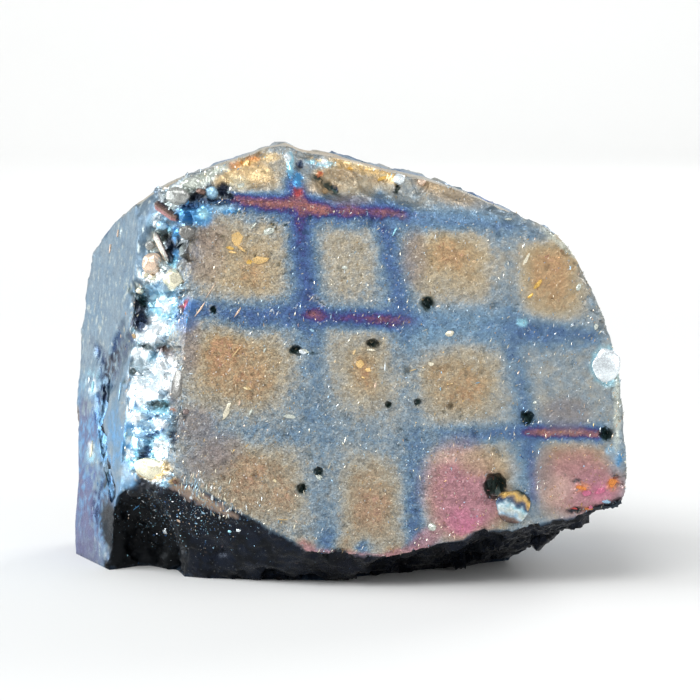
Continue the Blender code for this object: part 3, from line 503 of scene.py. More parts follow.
def find_zones(points, triangles, facets):
    """Which part of the stone each triangle belongs to."""
    middle, normal, area = triangle_facts(points, triangles)
    x, y, z = middle.T
    in_front = plane_distance(middle, FRONT_PLANE)
    at_left = plane_distance(middle, LEFT_PLANE)
    facet_area = np.bincount(facets, area)[facets]
    zone = np.full(len(triangles), SKIN)
    zone[(facet_area < 16.0) & (y > -6.0)] = CRYSTAL
    zone[(normal[:, 2] < -0.12) & (z < 15.0) & (y < 8.0)] = UNDER
    zone[(z < 10.0) & (y < 3.0) & (at_left < -0.6)] = UNDER
    zone[(y < -7.0) & (z > 32.0)] = TOP
    for plane in TOP_PLANES:
        zone[(plane_distance(middle, plane) > -0.1) & (z > 31.0)] = TOP
    zone[(x < -10.0) & (y < -3.5) & (z > 9.5) & (z < 37.0)] = CORNER
    seen_x, seen_z = seen_at(middle)
    ragged = 0.4 * lumps(middle, 0.7, 51)
    zone[(zone == CORNER) & (seen_x < np.interp(seen_z, *zip(*LEFT_EDGE)) + ragged)] = LEFT
    zone[(zone == CORNER) & (seen_x > np.interp(seen_z, *zip(*FRONT_EDGE)) + ragged)] = FRONT
    zone[(at_left > -0.1) & (normal @ LEFT_OUT > 0.9)] = LEFT
    zone[(x < -20.0) & (y < 7.0) & (at_left > -2.2) & (z < 22.0) & (zone != UNDER)] = LEFT
    zone[(y < -8.0) & (z > 12.0) & (x > -8.0) & ((zone == SKIN) | (zone == CRYSTAL))] = TOP
    right_rim = (x > 21.0) & (y < -6.0) & (z > 8.0) & (in_front > -3.5)
    zone[right_rim & ((normal[:, 2] > -0.12) | (y < -10.5))] = TOP
    zone[in_front > -0.08] = FRONT
    for pit_x, pit_z, radius in PITS:
        zone[(np.hypot(x - pit_x, z - pit_z) < radius * 1.3) & (in_front > -2.6)] = FRONT
    zone[(z < 0.02) & (normal[:, 2] < -0.99)] = BASE
    return zone


def refine(points, triangles, tags):
    """Halves every edge that is longer than its zone allows. Each triangle's tags go along with its parts."""
    longest = np.array(ZONE_EDGE)
    while True:
        ends = np.stack((triangles, np.roll(triangles, -1, axis=1)), axis=2).reshape(-1, 2)
        pairs, where = np.unique(np.sort(ends, axis=1), axis=0, return_inverse=True)
        where = where.reshape(-1)
        limit = np.full(len(pairs), 9.0)
        np.minimum.at(limit, where, np.repeat(longest[tags[:, 0]], 3))
        too_long = np.linalg.norm(points[pairs[:, 0]] - points[pairs[:, 1]], axis=1) > limit
        if not too_long.any():
            return points, triangles, tags
        new = np.full(len(pairs), -1)
        new[too_long] = len(points) + np.arange(too_long.sum())
        points = np.vstack((points, points[pairs[too_long]].mean(axis=1)))
        halves = new[where].reshape(-1, 3)
        count = (halves >= 0).sum(axis=1)
        # A triangle is turned so that its one halved edge is the first, or its one whole edge the last.
        turn = np.zeros(len(triangles), int)
        turn[count == 1] = np.argmax(halves[count == 1] >= 0, axis=1)
        turn[count == 2] = (np.argmax(halves[count == 2] < 0, axis=1) + 1) % 3
        order = (np.arange(3)[None, :] + turn[:, None]) % 3
        a, b, c = np.take_along_axis(triangles, order, 1).T
        ab, bc, ca = np.take_along_axis(halves, order, 1).T
        parts = (
            (0, (a, b, c)),
            (1, (a, ab, c)), (1, (ab, b, c)),
            (2, (ab, b, bc)), (2, (a, ab, bc)), (2, (a, bc, c)),
            (3, (a, ab, ca)), (3, (ab, b, bc)), (3, (ca, bc, c)), (3, (ab, bc, ca)),
        )
        triangles = np.vstack([np.stack(corners, 1)[count == which] for which, corners in parts])
        tags = np.vstack([tags[count == which] for which, corners in parts])


def point_normals(points, triangles):
    """The normal at each point, from the triangles round it weighed by area."""
    _, normal, area = triangle_facts(points, triangles)
    total = np.zeros_like(points)
    for k in range(3):
        np.add.at(total, triangles[:, k], normal * area[:, None])
    return total / np.maximum(np.linalg.norm(total, axis=1), 1e-9)[:, None]


def lower_top(points):
    """Draws the top down a little behind the front, for its uneven outline."""
    drop = np.interp(seen_at(points)[0], *zip(*TOP_DROP)) * ease(points[:, 2], 24.0, 31.0)
    drop *= ease(-plane_distance(points, FRONT_PLANE), 0.3, 2.5)
    return points - drop[:, None] * np.array(UP)


def zone_weights(count, triangles, zone):
    """For each point, the share of the triangles round it that lie in each zone."""
    weights = np.zeros((count, len(ZONE_EDGE)))
    for k in range(3):
        np.add.at(weights, (triangles[:, k], zone), 1.0)
    return weights / weights.sum(axis=1)[:, None]


def soften(points, triangles, share, rounds):
    """Draws each point towards the middle of its neighbours, by its share, for some rounds."""
    ends = np.vstack((triangles[:, (0, 1)], triangles[:, (1, 2)], triangles[:, (2, 0)]))
    start, end = np.unique(np.sort(ends, axis=1), axis=0).T
    count = len(points)
    neighbours = np.bincount(start, minlength=count) + np.bincount(end, minlength=count)
    for _ in range(rounds):
        total = np.array([
            np.bincount(start, axis[end], count) + np.bincount(end, axis[start], count) for axis in points.T])
        points = points + share[:, None] * ((total / neighbours).T - points)
    return points


def fracture(points, spacing, seed):
    """The tone, -1 to 1, of the chip that each point lies on, and the height of its own tilted face there."""
    rng = np.random.default_rng(seed)
    low, high = points.min(axis=0), points.max(axis=0)
    count = int(np.prod(high - low) / spacing ** 3) + 8
    middles = rng.uniform(low, high, (count, 3))
    tree = KDTree(count)
    for index, middle in enumerate(middles):
        tree.insert(middle, index)
    tree.balance()
    chip = np.array([tree.find(point)[1] for point in points.tolist()])
    slopes = rng.normal(0.0, 0.6, (count, 3))
    steps = rng.uniform(-0.3, 0.3, count)
    tones = rng.uniform(-1.0, 1.0, count)
    return tones[chip], ((points - middles[chip]) * slopes[chip]).sum(axis=1) + spacing * steps[chip]


def deep_places(x, z):
    """How much of the depth of the deeper places each point has, 0 to 1. Narrow places are less deep."""
    depth = np.zeros(len(x))
    for tint, *_, ovals in PLACES:
        if tint in DEEP_TINTS:
            for spot in ovals:
                depth = np.maximum(depth, oval(x, z, spot, 0.4) * min(1.0, min(spot[2:4]) * 2.5))
    return depth


def roughen(points, normals, weights):
    """The points moved for the grain of each zone, the middles of the front's dents, and each chip's tone."""
    front, corner, top, left, under, base, skin = weights.T[:CRYSTAL]
    x, z = seen_at(points)
    rng = np.random.default_rng(31)
    fine, small, medium, large = (lumps(points, size, k) for k, size in enumerate((0.34, 0.75, 1.6, 4.2)))
    ridges = 1.0 - np.abs(lumps(points, 1.1, 7)) * 2.0
    single = rng.uniform(-1.0, 1.0, len(points))
    stripes = np.sin((points[:, 2] * 0.82 - points[:, 0] * 0.57) * 5.5 + 2.5 * medium + 0.8 * small)
    broken = corner + under + skin > 0.0
    tone, tilt, shiver = np.zeros((3, len(points)))
    tone[broken], tilt[broken] = fracture(points[broken] * np.array((1.0, 1.0, 1.25)), 2.4, 71)
    shiver[broken] = fracture(points[broken] * np.array((1.0, 1.0, 1.4)), 1.0, 72)[1]
    rubble = 0.06 * fine + 0.1 * small + 0.2 * tilt + 0.2 * shiver + 0.02 * single
    rough_back = (0.16 * tilt + 0.08 * shiver) * ease(points[:, 1], 0.0, 5.0)
    height = front * (0.055 * fine + 0.035 * small + 0.02 * medium + 0.016 * single)
    height += corner * (
        0.02 * fine + 0.05 * ridges * ease(small, -0.2, 0.4) + 0.36 * tilt + 0.16 * shiver + 0.006 * single)
    height += top * (0.06 * fine + 0.08 * small + 0.02 * single)
    height += left * (0.02 * small + 0.02 * medium + 0.012 * single)
    height += under * rubble
    height += skin * (0.04 * small + 0.08 * medium + 0.08 * large + 0.03 * single + rough_back)
    navy = ease(plane_distance(points, NAVY_PLANE), -0.5, -0.1) * under
    height += navy * (0.07 * stripes * ease(large + medium, -0.4, 0.5) - 0.6 * rubble)
    dents = rng.uniform((-19.0, 3.5), (25.0, 35.5), (DENT_COUNT, 2))
    for dent_x, dent_z in dents:
        radius = rng.uniform(0.14, 0.36)
        depth = rng.uniform(0.5, 0.9) * radius
        height -= front * depth * np.exp(-((x - dent_x) ** 2 + (z - dent_z) ** 2) / radius ** 2)
    slide = rng.uniform(-0.055, 0.055, points.shape) * front[:, None]
    height -= 0.4 * deep_places(x, z) * (1.0 - base) * (points[:, 1] < 4.0)
    moved = points + normals * height[:, None] + slide - normals * (slide * normals).sum(axis=1)[:, None]
    moved[base > 0.0] = points[base > 0.0]
    return np.clip(moved, BOX_LOW, BOX_HIGH), dents, tone


# ---------------------------------------------------------------- the film's colours

def line_film(x, z, points):
    """How near each point is to one line, 0 to 1, and the film value of the line there."""
    best = np.zeros_like(x)
    value = np.zeros_like(x)
    for (x0, z0, v0, w0), (x1, z1, v1, w1) in zip(points, points[1:]):
        length = (x1 - x0) ** 2 + (z1 - z0) ** 2
        part = np.clip(((x - x0) * (x1 - x0) + (z - z0) * (z1 - z0)) / length, 0.0, 1.0)
        away = np.hypot(x - x0 - part * (x1 - x0), z - z0 - part * (z1 - z0))
        near = np.exp(-(away / (w0 + part * (w1 - w0))) ** 2)
        nearer = near > best
        best[nearer] = near[nearer]
        value[nearer] = (v0 + part * (v1 - v0))[nearer]
    return best, value


def front_film(x, z, small, medium):
    """The film value over the front, from the cells, the spots and the lines."""
    film = np.full(len(x), BARE_FILM)
    x = x + 0.25 * medium + 0.1 * small
    z = z + 0.25 * np.roll(medium, 1) + 0.1 * small
    for cell_x, cell_z, half_x, half_z, value in CELLS:
        square = (np.abs((x - cell_x) / half_x) ** 3 + np.abs((z - cell_z) / half_z) ** 3) ** (1 / 3)
        film += (value - film) * (1.0 - ease(square, 0.3, 1.15))
    for spot_x, spot_z, radius, value, strength in SPOTS:
        film += (value - film) * strength * np.exp(-((x - spot_x) ** 2 + (z - spot_z) ** 2) / radius ** 2)
    for points in LINES:
        near, value = line_film(x, z, points)
        film = np.maximum(film, film + (value - film) * near)
    return film + 0.035 * medium + 0.05 * small


def linear(tint):
    """A named tint as linear red, green and blue."""
    return np.array(tint_of(*TINTS[tint])[:3])


class Coat:
    """The tints over the film: their cover and colour at each point, with the gloss and the grain there."""

    def __init__(self, gloss, grain):
        self.gloss, self.grain = gloss, grain
        self.cover = np.zeros(len(gloss))
        self.own = np.ones((len(gloss), 3))

    def lay(self, tint, amount, gloss=None, kept_grain=1.0):
        """Lays a tint over what is there."""
        amount = np.clip(amount, 0.0, 1.0)
        total = amount + self.cover * (1.0 - amount)
        share = np.where(total > 0.0, amount / np.maximum(total, 1e-6), 0.0)[:, None]
        self.own += (linear(tint) - self.own) * share
        self.cover = total
        if gloss is not None:
            self.gloss = self.gloss + (gloss - self.gloss) * amount
        self.grain = self.grain * (1.0 - (1.0 - kept_grain) * amount)


def paint_corner(lay, corner, z, tone, small, medium):
    """The broken corner: pale and blue chips, the lower ones painted white, ice and cyan as painted
    highlight, painted shade in the dark cracks between them, and greyer chips near the top.
    """
    high = ease(z + 0.4 * medium, 27.0, 28.6)
    bright = corner * (1.0 - high)
    crack_shade = np.abs(medium + 0.3 * small)
    lay("slate", corner * 0.7)
    # Painted highlight: white, ice and cyan on the lower chips, brightest where glint is high.
    lay("ice", bright * 0.75 * ease(tone, -0.9, -0.7))
    lay("cyan", bright * 0.7 * ease(tone + 0.3 * small, -0.5, -0.3))
    glint = 0.6 + 0.4 * ease(small, -0.3, 0.2)
    lay("white", bright * 0.85 * ease(tone + 0.5 * small, -0.25, 0.1) * glint)
    lay("grey", bright * 0.5 * ease(tone + 0.3 * small, 0.75, 0.85))
    # Painted shade: dark lines with a cyan fringe along the cracks.
    lay("cyan", bright * 0.6 * (1.0 - ease(crack_shade, 0.03, 0.16)))
    lay("deep", bright * 0.85 * (1.0 - ease(crack_shade, 0.0, 0.06)))
    low_bright = bright * (1.0 - ease(z, 15.5, 17.0))
    lay("ice", low_bright * 0.5)
    lay("white", low_bright * 0.75 * ease(tone + 0.6 * small, -0.6, 0.0))
    lay("slate", corner * high * 0.75)
    lay("stone", corner * high * 0.6 * ease(tone, -0.2, 0.2))
    lay("pale", corner * high * 0.55 * ease(-tone + 0.5 * small, 0.1, 0.4))
    lay("deep", corner * high * 0.35 * (1.0 - ease(crack_shade, 0.02, 0.12)))


def paint_left(lay, left, points, normals, medium, large):
    """The smoother sawn face on the left: slate with its bevelled strip darkened to dusk as painted shade,
    streaks, and azure and violet low down.
    """
    x, z = seen_at(points)
    lay("slate", left * (0.45 + 0.2 * large))
    turned = 1.0 - ease(normals @ LEFT_OUT, 0.95, 0.99)
    shaded_bevel = np.maximum(turned, ease(-plane_distance(points, LEFT_PLANE), 0.08, 0.2))
    # Painted shade: the bevelled strip is darkened so that it catches no more light than the face.
    lay("dusk", left * 0.6 * shaded_bevel * ease(z, 9.0, 13.0) * ease(x, -21.6, -20.6), 0.1)
    streaks = lumps(points * np.array((1.0, 1.0, 0.3)), 0.3, 41)
    lay("pale", left * 0.65 * ease(streaks + 0.3 * large, 0.3, 0.6), 0.7)
    lay("deep", left * 0.4 * ease(-streaks + 0.5 * medium, 0.35, 0.7))
    low_left = left * ease(z, 3.0, 7.0) * (1.0 - ease(z, 14.0, 21.0))
    lay("azure", 0.7 * low_left * ease(large + 0.6 * medium, -0.6, 0.2))
    lay("violet", left * 0.75 * (1.0 - ease(z, 3.0, 13.0)) * (1.0 - ease(x, -24.5, -22.0)))


def paint_places(lay, x, z, facing, above, small, fine):
    """The places with a tint of their own, some of them painted highlight or painted shade. Only the black
    and brown ones lie on the underside too.
    """
    bent_x, bent_z = x + 0.22 * small + 0.12 * fine, z + 0.22 * np.roll(small, 7) + 0.12 * fine
    for tint, amount, softness, gloss, kept_grain, ovals in PLACES:
        where = facing if tint in ("black", "brown") else above
        for spot in ovals:
            lay(tint, amount * oval(bent_x, bent_z, spot, softness) * where, gloss, kept_grain)


def paint_under(lay, dark, under, front, seam, small, medium, fine):
    """Painted shade on the underside, navy and black; the worn seam between it and the front, mauve and tan,
    with black painted shade along it on the front.
    """
    # Painted shade: the underside is laid navy and black.
    lay("navy", dark * 0.97, 0.7, 0.5)
    lay("black", dark * (0.5 + 0.4 * ease(medium + small, -0.3, 0.3)), 0.5)
    worn = under * ease(seam + 0.45 * small + 0.3 * fine, 0.3, 0.6)
    lay("mauve", worn, 0.4)
    lay("tan", 0.4 * worn * ease(seam, 0.4, 0.9))
    # Painted shade: black blotches along the seam on the front.
    lay("black", 0.9 * front * seam * ease(small + 0.7 * fine, 0.12, 0.3))


def paint_pits(lay, front, x, z, small, fine, dents):
    """Painted shade in the pits and dents of the front, dark green."""
    for pit_x, pit_z, radius in PITS:
        reach = np.hypot(x - pit_x, z - pit_z + 0.05) / radius + 0.35 * small + 0.2 * fine
        # Painted shade: dark green in the pits, fainter in the dents.
        lay("green", (1.0 - ease(reach, 0.55, 1.2)) * front * 0.97, 0.4, 0.4)
    for dent_x, dent_z in dents:
        lay("green", 0.4 * front * np.exp(-((x - dent_x) ** 2 + (z - dent_z) ** 2) / 0.03))


def paint(points, normals, weights, dents, tone):
    """What the material reads at each point: film, cover, gloss and grain, 0 to 1, and the own colour."""
    x, z = seen_at(points)
    sizes = (0.28, 0.5, 1.4, 3.5, 9.0)
    fine, small, medium, large, wide = (lumps(points, size, 20 + k) for k, size in enumerate(sizes))
    weights = weights.copy()
    behind = weights[:, TOP] * ease(points[:, 1] + 0.8 * medium + 0.4 * small, -8.0, -6.9)
    weights[:, TOP] -= behind
    weights[:, SKIN] += behind
    front, corner, top, left, under, base, skin, crystal = weights.T
    towards_back = ease(points[:, 1], -4.0, 6.0)
    flat_top = ease(z, 30.0, 33.0) * (1.0 - ease(points[:, 1] + 1.5 * large, -3.0, 4.0))
    on_front = front_film(x, z, small, medium)
    on_skin = 0.5 - 0.22 * flat_top + (0.26 * wide + 0.22 * large) * (1.0 - 0.45 * flat_top) + 0.06 * medium
    film = (
        front * on_front + corner * (0.5 + 0.1 * medium + 0.08 * small) + top * on_front
        + left * (0.51 + 0.05 * large + 0.04 * small) + under * (0.62 + 0.08 * medium)
        + base * (0.55 + 0.1 * large) + skin * on_skin + crystal * (0.5 + 0.34 * wide + 0.2 * large))
    even_grain = (1.0 - 0.2 * ease(x, -7.0, -3.0)) * (1.0 - 0.45 * ease(x, 6.0, 19.0))
    coat = Coat(weights @ np.array(ZONE_GLOSS), weights @ np.array(ZONE_GRAIN) * even_grain)
    paint_corner(coat.lay, corner, z, tone, small, medium)
    paint_left(coat.lay, left, points, normals, medium, large)
    # The marks seen from the front end this far back, in mm, which changes from left to right.
    limit = np.interp(x, (-17.0, -14.5, 2.0, 8.0, 20.0), (8.0, -7.4, -7.4, -8.6, -11.5))
    facing = 1.0 - ease(points[:, 1], limit, limit + 2.0)
    patchy = 1.0 - ease(small + 0.6 * medium, -0.25, 0.15)
    above = facing * (1.0 - under) * (1.0 - left * patchy)
    paint_places(coat.lay, x, z, facing, above, small, fine)
    # Painted shade on the underside, weaker towards the back.
    dark = under * (1.0 - 0.75 * towards_back)
    seam = line_film(x, z, [(at_x, at_z, 0.0, half) for at_x, at_z, half in SEAM])[0] * facing
    paint_under(coat.lay, dark, under, front, seam, small, medium, fine)
    coat.lay("azure", crystal * 0.6 * ease(wide, 0.0, 0.35))
    coat.lay("purple", crystal * 0.6 * ease(-wide, 0.05, 0.35))
    coat.lay("gold", crystal * 0.6 * (1.0 - ease(np.abs(large), 0.04, 0.2)))
    # Painted light and shade: the front is laid slate low down and sand high up, darker below and lighter
    # above as the light falls.
    shade = front * 0.14
    coat.lay("slate", shade * (1.0 - ease(z, 8.0, 22.0)))
    coat.lay("sand", shade * ease(z, 20.0, 32.0) * (1.0 - ease(film, 0.38, 0.48)))
    # Painted shade: black in the hollow under the front.
    coat.lay("black", dark * 0.95 * oval(x, z, HOLLOW, 0.4), 0.2, 0.3)
    paint_pits(coat.lay, front, x, z, small, fine, dents)
    values = {"film": film, "cover": coat.cover, "gloss": coat.gloss, "grain": coat.grain}
    return {name: np.clip(value, 0.0, 1.0) for name, value in values.items()} | {"own": coat.own}


# ---------------------------------------------------------------- building pieces

def make_piece(name, points, triangles, values, flat):
    """A mesh object from points in mm, with its values as attributes. flat marks the faces shaded flat."""
    mesh = bpy.data.meshes.new(name)
    mesh.from_pydata((points * MM).tolist(), [], triangles.tolist())
    mesh.polygons.foreach_set("use_smooth", ~np.broadcast_to(flat, len(triangles)))
    for key, value in values.items():
        kind, field = ("FLOAT_COLOR", "color") if key == "own" else ("FLOAT", "value")
        if key == "own":
            value = np.hstack((value, np.ones((len(points), 1))))
        layer = mesh.attributes.new(key, kind, "POINT")
        layer.data.foreach_set(field, value.astype(np.float32).reshape(-1))
    piece = bpy.data.objects.new(name, mesh)
    bpy.context.scene.collection.objects.link(piece)
    mesh.materials.append(film_material)
    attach(piece, "root")
    return piece


class Heap:
    """Small bodies that are joined into one piece."""

    def __init__(self):
        self.points, self.triangles, self.values = [], [], []
        self.count = 0

    def add(self, body, tint, film, gloss, grain=0.0, cover=0.95, own=None):
        """Adds a body, which is its points and triangles. A body without a tint keeps the film's colour."""
        points, triangles = body
        values = {"film": film, "gloss": gloss, "grain": grain, "cover": cover if tint else 0.0}
        values = {key: np.broadcast_to(value, len(points)) for key, value in values.items()}
        if own is None:
            own = linear(tint) if tint else 1.0
        values["own"] = np.broadcast_to(own, (len(points), 3))
        self.points.append(points)
        self.triangles.append(np.array(triangles) + self.count)
        self.values.append(values)
        self.count += len(points)

    def piece(self, name, flat=True):
        """Makes the piece from all the bodies."""
        points = np.clip(np.vstack(self.points), BOX_LOW, BOX_HIGH)
        values = {key: np.concatenate([v[key] for v in self.values]) for key in self.values[0]}
        make_piece(name, points, np.vstack(self.triangles), values, flat)


def frame_at(normal, turn=0.0, upright=UP):
    """Three directions at a spot: across, along and out. along is upright, turned by some degrees."""
    out = normal / np.linalg.norm(normal)
    along = np.array(upright) - out * np.dot(upright, out)
    along /= np.linalg.norm(along)
    across = np.cross(along, out)
    cosine, sine = math.cos(math.radians(turn)), math.sin(math.radians(turn))
    return across * cosine - along * sine, along * cosine + across * sine, out


def shard(middle, axes, half, rng):
    """A splinter: a long double pyramid over a skewed four-sided middle."""
    across, along, out = axes
    lean = rng.uniform(-0.25, 0.25)
    corners = [
        -along * half[1], along * half[1],
        across * half[0] + along * half[1] * lean, out * half[2],
        -across * half[0] - along * half[1] * lean, -out * half[2],
    ]
    faces = ((0, 2, 3), (0, 3, 4), (0, 4, 5), (0, 5, 2), (1, 3, 2), (1, 4, 3), (1, 5, 4), (1, 2, 5))
    return middle + np.array(corners), [(a, c, b) for a, b, c in faces]


def rod(start, end, normal, half):
    """A six-sided prism between two places, with blunt ends."""
    length = np.linalg.norm(end - start)
    along = (end - start) / length
    side = np.cross(normal, along)
    side /= np.linalg.norm(side)
    out = np.cross(along, side)
    corners = []
    for part, size in ((0.0, 0.55), (0.12, 1.0), (0.86, 0.95), (1.0, 0.5)):
        for k in range(6):
            angle = math.tau * (k + 0.5) / 6
            away = side * math.cos(angle) + out * math.sin(angle)
            corners.append(start + along * length * part + half * size * away)
    faces = []
    for k in range(6):
        n = (k + 1) % 6
        for r in (0, 6, 12):
            faces += [(r + k, r + n, r + 6 + n), (r + k, r + 6 + n, r + 6 + k)]
    faces += [(0, k + 1, k) for k in range(1, 5)] + [(18, 18 + k, 19 + k) for k in range(1, 5)]
    return np.array(corners), faces


def unit_ball(level):
    """Points and triangles of an even ball of radius 1."""
    bm = bmesh.new()
    bmesh.ops.create_icosphere(bm, subdivisions=level, radius=1.0)
    points = np.array([v.co[:] for v in bm.verts])
    triangles = np.array([[v.index for v in f.verts] for f in bm.faces])
    bm.free()
    return points, triangles


def pebble(middle, axes, radii, seed, wear=0.86):
    """A lumpy pebble with a few flattened sides. wear is how near to the middle they may come."""
    points, triangles = BALL
    rough = 1.0 + 0.2 * lumps(points, 0.8, seed) + 0.07 * lumps(points, 0.3, seed + 3)
    body = points * rough[:, None]
    rng = np.random.default_rng(seed)
    for side in rng.normal(size=(5, 3)):
        side /= np.linalg.norm(side)
        over = np.maximum(body @ side - rng.uniform(wear, wear + 0.2), 0.0)
        body -= over[:, None] * side
    return middle + (body * np.array(radii)) @ np.array(axes), triangles


def crystal_point(root, axes, radius, length, rng):
    """A quartz point: a six-sided prism with an uneven six-sided tip."""
    across, along, out = axes
    ring = [math.tau * k / 6 + rng.uniform(-0.12, 0.12) for k in range(6)]
    corners = []
    for level, size in ((-0.4, 1.0), (0.62, 0.96)):
        for k, angle in enumerate(ring):
            rise = level + (0.1 * rng.uniform(-1, 1) if level > 0 else 0.0)
            away = across * math.cos(angle) + along * math.sin(angle)
            corners.append(root + radius * size * away + out * length * rise)
    shift = across * rng.uniform(-1, 1) + along * rng.uniform(-1, 1)
    corners.append(root + out * length + radius * 0.25 * shift)
    faces = []
    for k in range(6):
        n = (k + 1) % 6
        faces += [(k, n, 6 + n), (k, 6 + n, 6 + k), (6 + k, 6 + n, 12)]
    return np.array(corners), faces


def flake(middle, axes, half, rng):
    """A thin plate with an uneven outline of seven corners and a raised middle."""
    across, along, out = axes
    corners = []
    for k in range(7):
        angle = math.tau * k / 7 + rng.uniform(-0.2, 0.2)
        size = rng.uniform(0.6, 1.15)
        edge = across * half[0] * size * math.cos(angle) + along * half[1] * size * math.sin(angle)
        corners.append(edge + out * 0.03)
    rim = [corner - out * 0.15 for corner in corners]
    top = out * 0.07 + across * half[0] * rng.uniform(-0.2, 0.2)
    faces = []
    for k in range(7):
        n = (k + 1) % 7
        faces += [(k, n, 14), (7 + k, 7 + n, n), (7 + k, n, k), (7 + n, 7 + k, 15)]
    return middle + np.array(corners + rim + [top, -out * 0.15]), faces


# ---------------------------------------------------------------- the material

def tint_of(red, green, blue):
    """A screen colour, 0 to 255, as Blender's linear colour."""
    parts = (c / 255 for c in (red, green, blue))
    return tuple(c / 12.92 if c < 0.04045 else ((c + 0.055) / 1.055) ** 2.4 for c in parts) + (1.0,)


# The film's colours as its value rises from 0 to 1.
FILM_COLOURS = (
    (0, (176, 120, 128)), (0.08, (176, 130, 118)), (0.16, (174, 139, 104)), (0.24, (169, 148, 118)),
    (0.32, (168, 157, 136)), (0.4, (163, 160, 150)), (0.47, (143, 153, 158)), (0.55, (110, 134, 154)),
    (0.64, (84, 113, 150)), (0.73, (68, 93, 141)), (0.82, (68, 60, 117)), (0.91, (118, 80, 104)),
    (1, (158, 106, 98)),
)


def build_material():
    """The metal film: a colour ramp over the film's value, with specks, a fine grain, painted glints, painted
    shade in tiny pinholes and in the worm grooves, and glossy places.
    """
    material = bpy.data.materials.new("aura_film")
    material.use_nodes = True
    nodes, links = material.node_tree.nodes, material.node_tree.links
    shader = nodes["Principled BSDF"]

    def node(kind, **settings):
        made = nodes.new(kind)
        for key, value in settings.items():
            setattr(made, key, value)
        return made

    def feed(socket, value):
        if isinstance(value, bpy.types.NodeSocket):
            links.new(value, socket)
        else:
            socket.default_value = value

    def maths(operation, *values):
        made = node("ShaderNodeMath", operation=operation)
        for socket, value in zip(made.inputs, values):
            feed(socket, value)
        return made.outputs[0]

    def fit(value, low, high, new_low, new_high):
        made = node("ShaderNodeMapRange")
        for socket, number in zip(made.inputs, (value, low, high, new_low, new_high)):
            feed(socket, number)
        return made.outputs[0]

    def mixed(part, first, second):
        made = node("ShaderNodeMix", data_type="RGBA")
        for number, value in ((0, part), (6, first), (7, second)):
            feed(made.inputs[number], value)
        return made.outputs[2]

    def ramp(value, stops):
        made = node("ShaderNodeValToRGB")
        feed(made.inputs[0], value)
        band = made.color_ramp.elements
        while len(band) < len(stops):
            band.new(0.5)
        for element, (place, colour) in zip(band, stops):
            element.position = place
            element.color = tint_of(*colour)
        return made.outputs[0]

    def value_of(name, output="Fac"):
        return node("ShaderNodeAttribute", attribute_name=name).outputs[output]

    def spread(value, width):
        return maths("MULTIPLY", maths("SUBTRACT", value, 0.5), width)

    place = node("ShaderNodeTexCoord").outputs["Object"]

    def cells(size):
        made = node("ShaderNodeTexVoronoi")
        feed(made.inputs["Vector"], place)
        feed(made.inputs["Scale"], 1.0 / (size * MM))
        apart = node("ShaderNodeSeparateColor")
        links.new(made.outputs["Color"], apart.inputs[0])
        return made.outputs["Distance"], apart.outputs

    def cloud(size, detail=3.0):
        made = node("ShaderNodeTexNoise")
        feed(made.inputs["Vector"], place)
        feed(made.inputs["Scale"], 1.0 / (size * MM))
        feed(made.inputs["Detail"], detail)
        return made.outputs["Fac"]

    grain, gloss = value_of("grain"), value_of("gloss")
    near_speck, speck = cells(0.13)
    crumb = cells(0.34)[1]
    shift = maths("ADD", spread(speck[0], 0.06), spread(crumb[0], 0.06))
    film = maths("ADD", value_of("film"), maths("MULTIPLY", shift, grain))
    colour = ramp(film, FILM_COLOURS)
    light = maths("ADD", spread(speck[1], 0.56), spread(crumb[1], 0.36))
    worms = fit(maths("ABSOLUTE", maths("SUBTRACT", cloud(0.24, 1.5), 0.5)), 0.0, 0.14, 1.0, 0.0)
    # Painted shade: the colour is darker along the worm grooves that the bump also cuts.
    light = maths("ADD", light, fit(worms, 0.0, 1.0, 0.05, -0.12))
    light = maths("ADD", maths("MULTIPLY", light, grain), 1.0)
    light = maths("MULTIPLY", light, fit(cloud(0.8), 0.3, 0.7, 0.87, 1.12))
    colour = mixed(value_of("cover"), colour, value_of("own", "Color"))
    bright = node("ShaderNodeHueSaturation")
    feed(bright.inputs["Value"], light)
    feed(bright.inputs["Color"], colour)
    colour = bright.outputs[0]
    # Painted glints: a few specks are laid pale. The dark pinhole specks after them are painted shade.
    painted_glint = maths("MULTIPLY", fit(speck[2], 0.975, 0.995, 0.0, 0.4), grain)
    colour = mixed(painted_glint, colour, tint_of(240, 242, 240))
    pinhole_shade = maths("MULTIPLY", fit(crumb[2], 0.97, 0.99, 0.0, 0.3), grain)
    colour = mixed(pinhole_shade, colour, tint_of(40, 50, 52))
    feed(shader.inputs["Base Color"], colour)
    feed(shader.inputs["Metallic"], 0.55)
    feed(shader.inputs["Specular IOR Level"], 0.35)
    feed(shader.inputs["Roughness"], maths("ADD", fit(gloss, 0.0, 1.0, 0.58, 0.14), spread(speck[0], 0.18)))
    bump = node("ShaderNodeBump")
    feed(bump.inputs["Strength"], maths("ADD", maths("MULTIPLY", grain, 0.7), 0.04))
    feed(bump.inputs["Distance"], 0.05 * MM)
    height = maths("ADD", maths("MULTIPLY", near_speck, 0.7), maths("MULTIPLY", worms, -0.9))
    feed(bump.inputs["Height"], height)
    feed(shader.inputs["Normal"], bump.outputs[0])
    return material


film_material = build_material()
BALL = unit_ball(4)

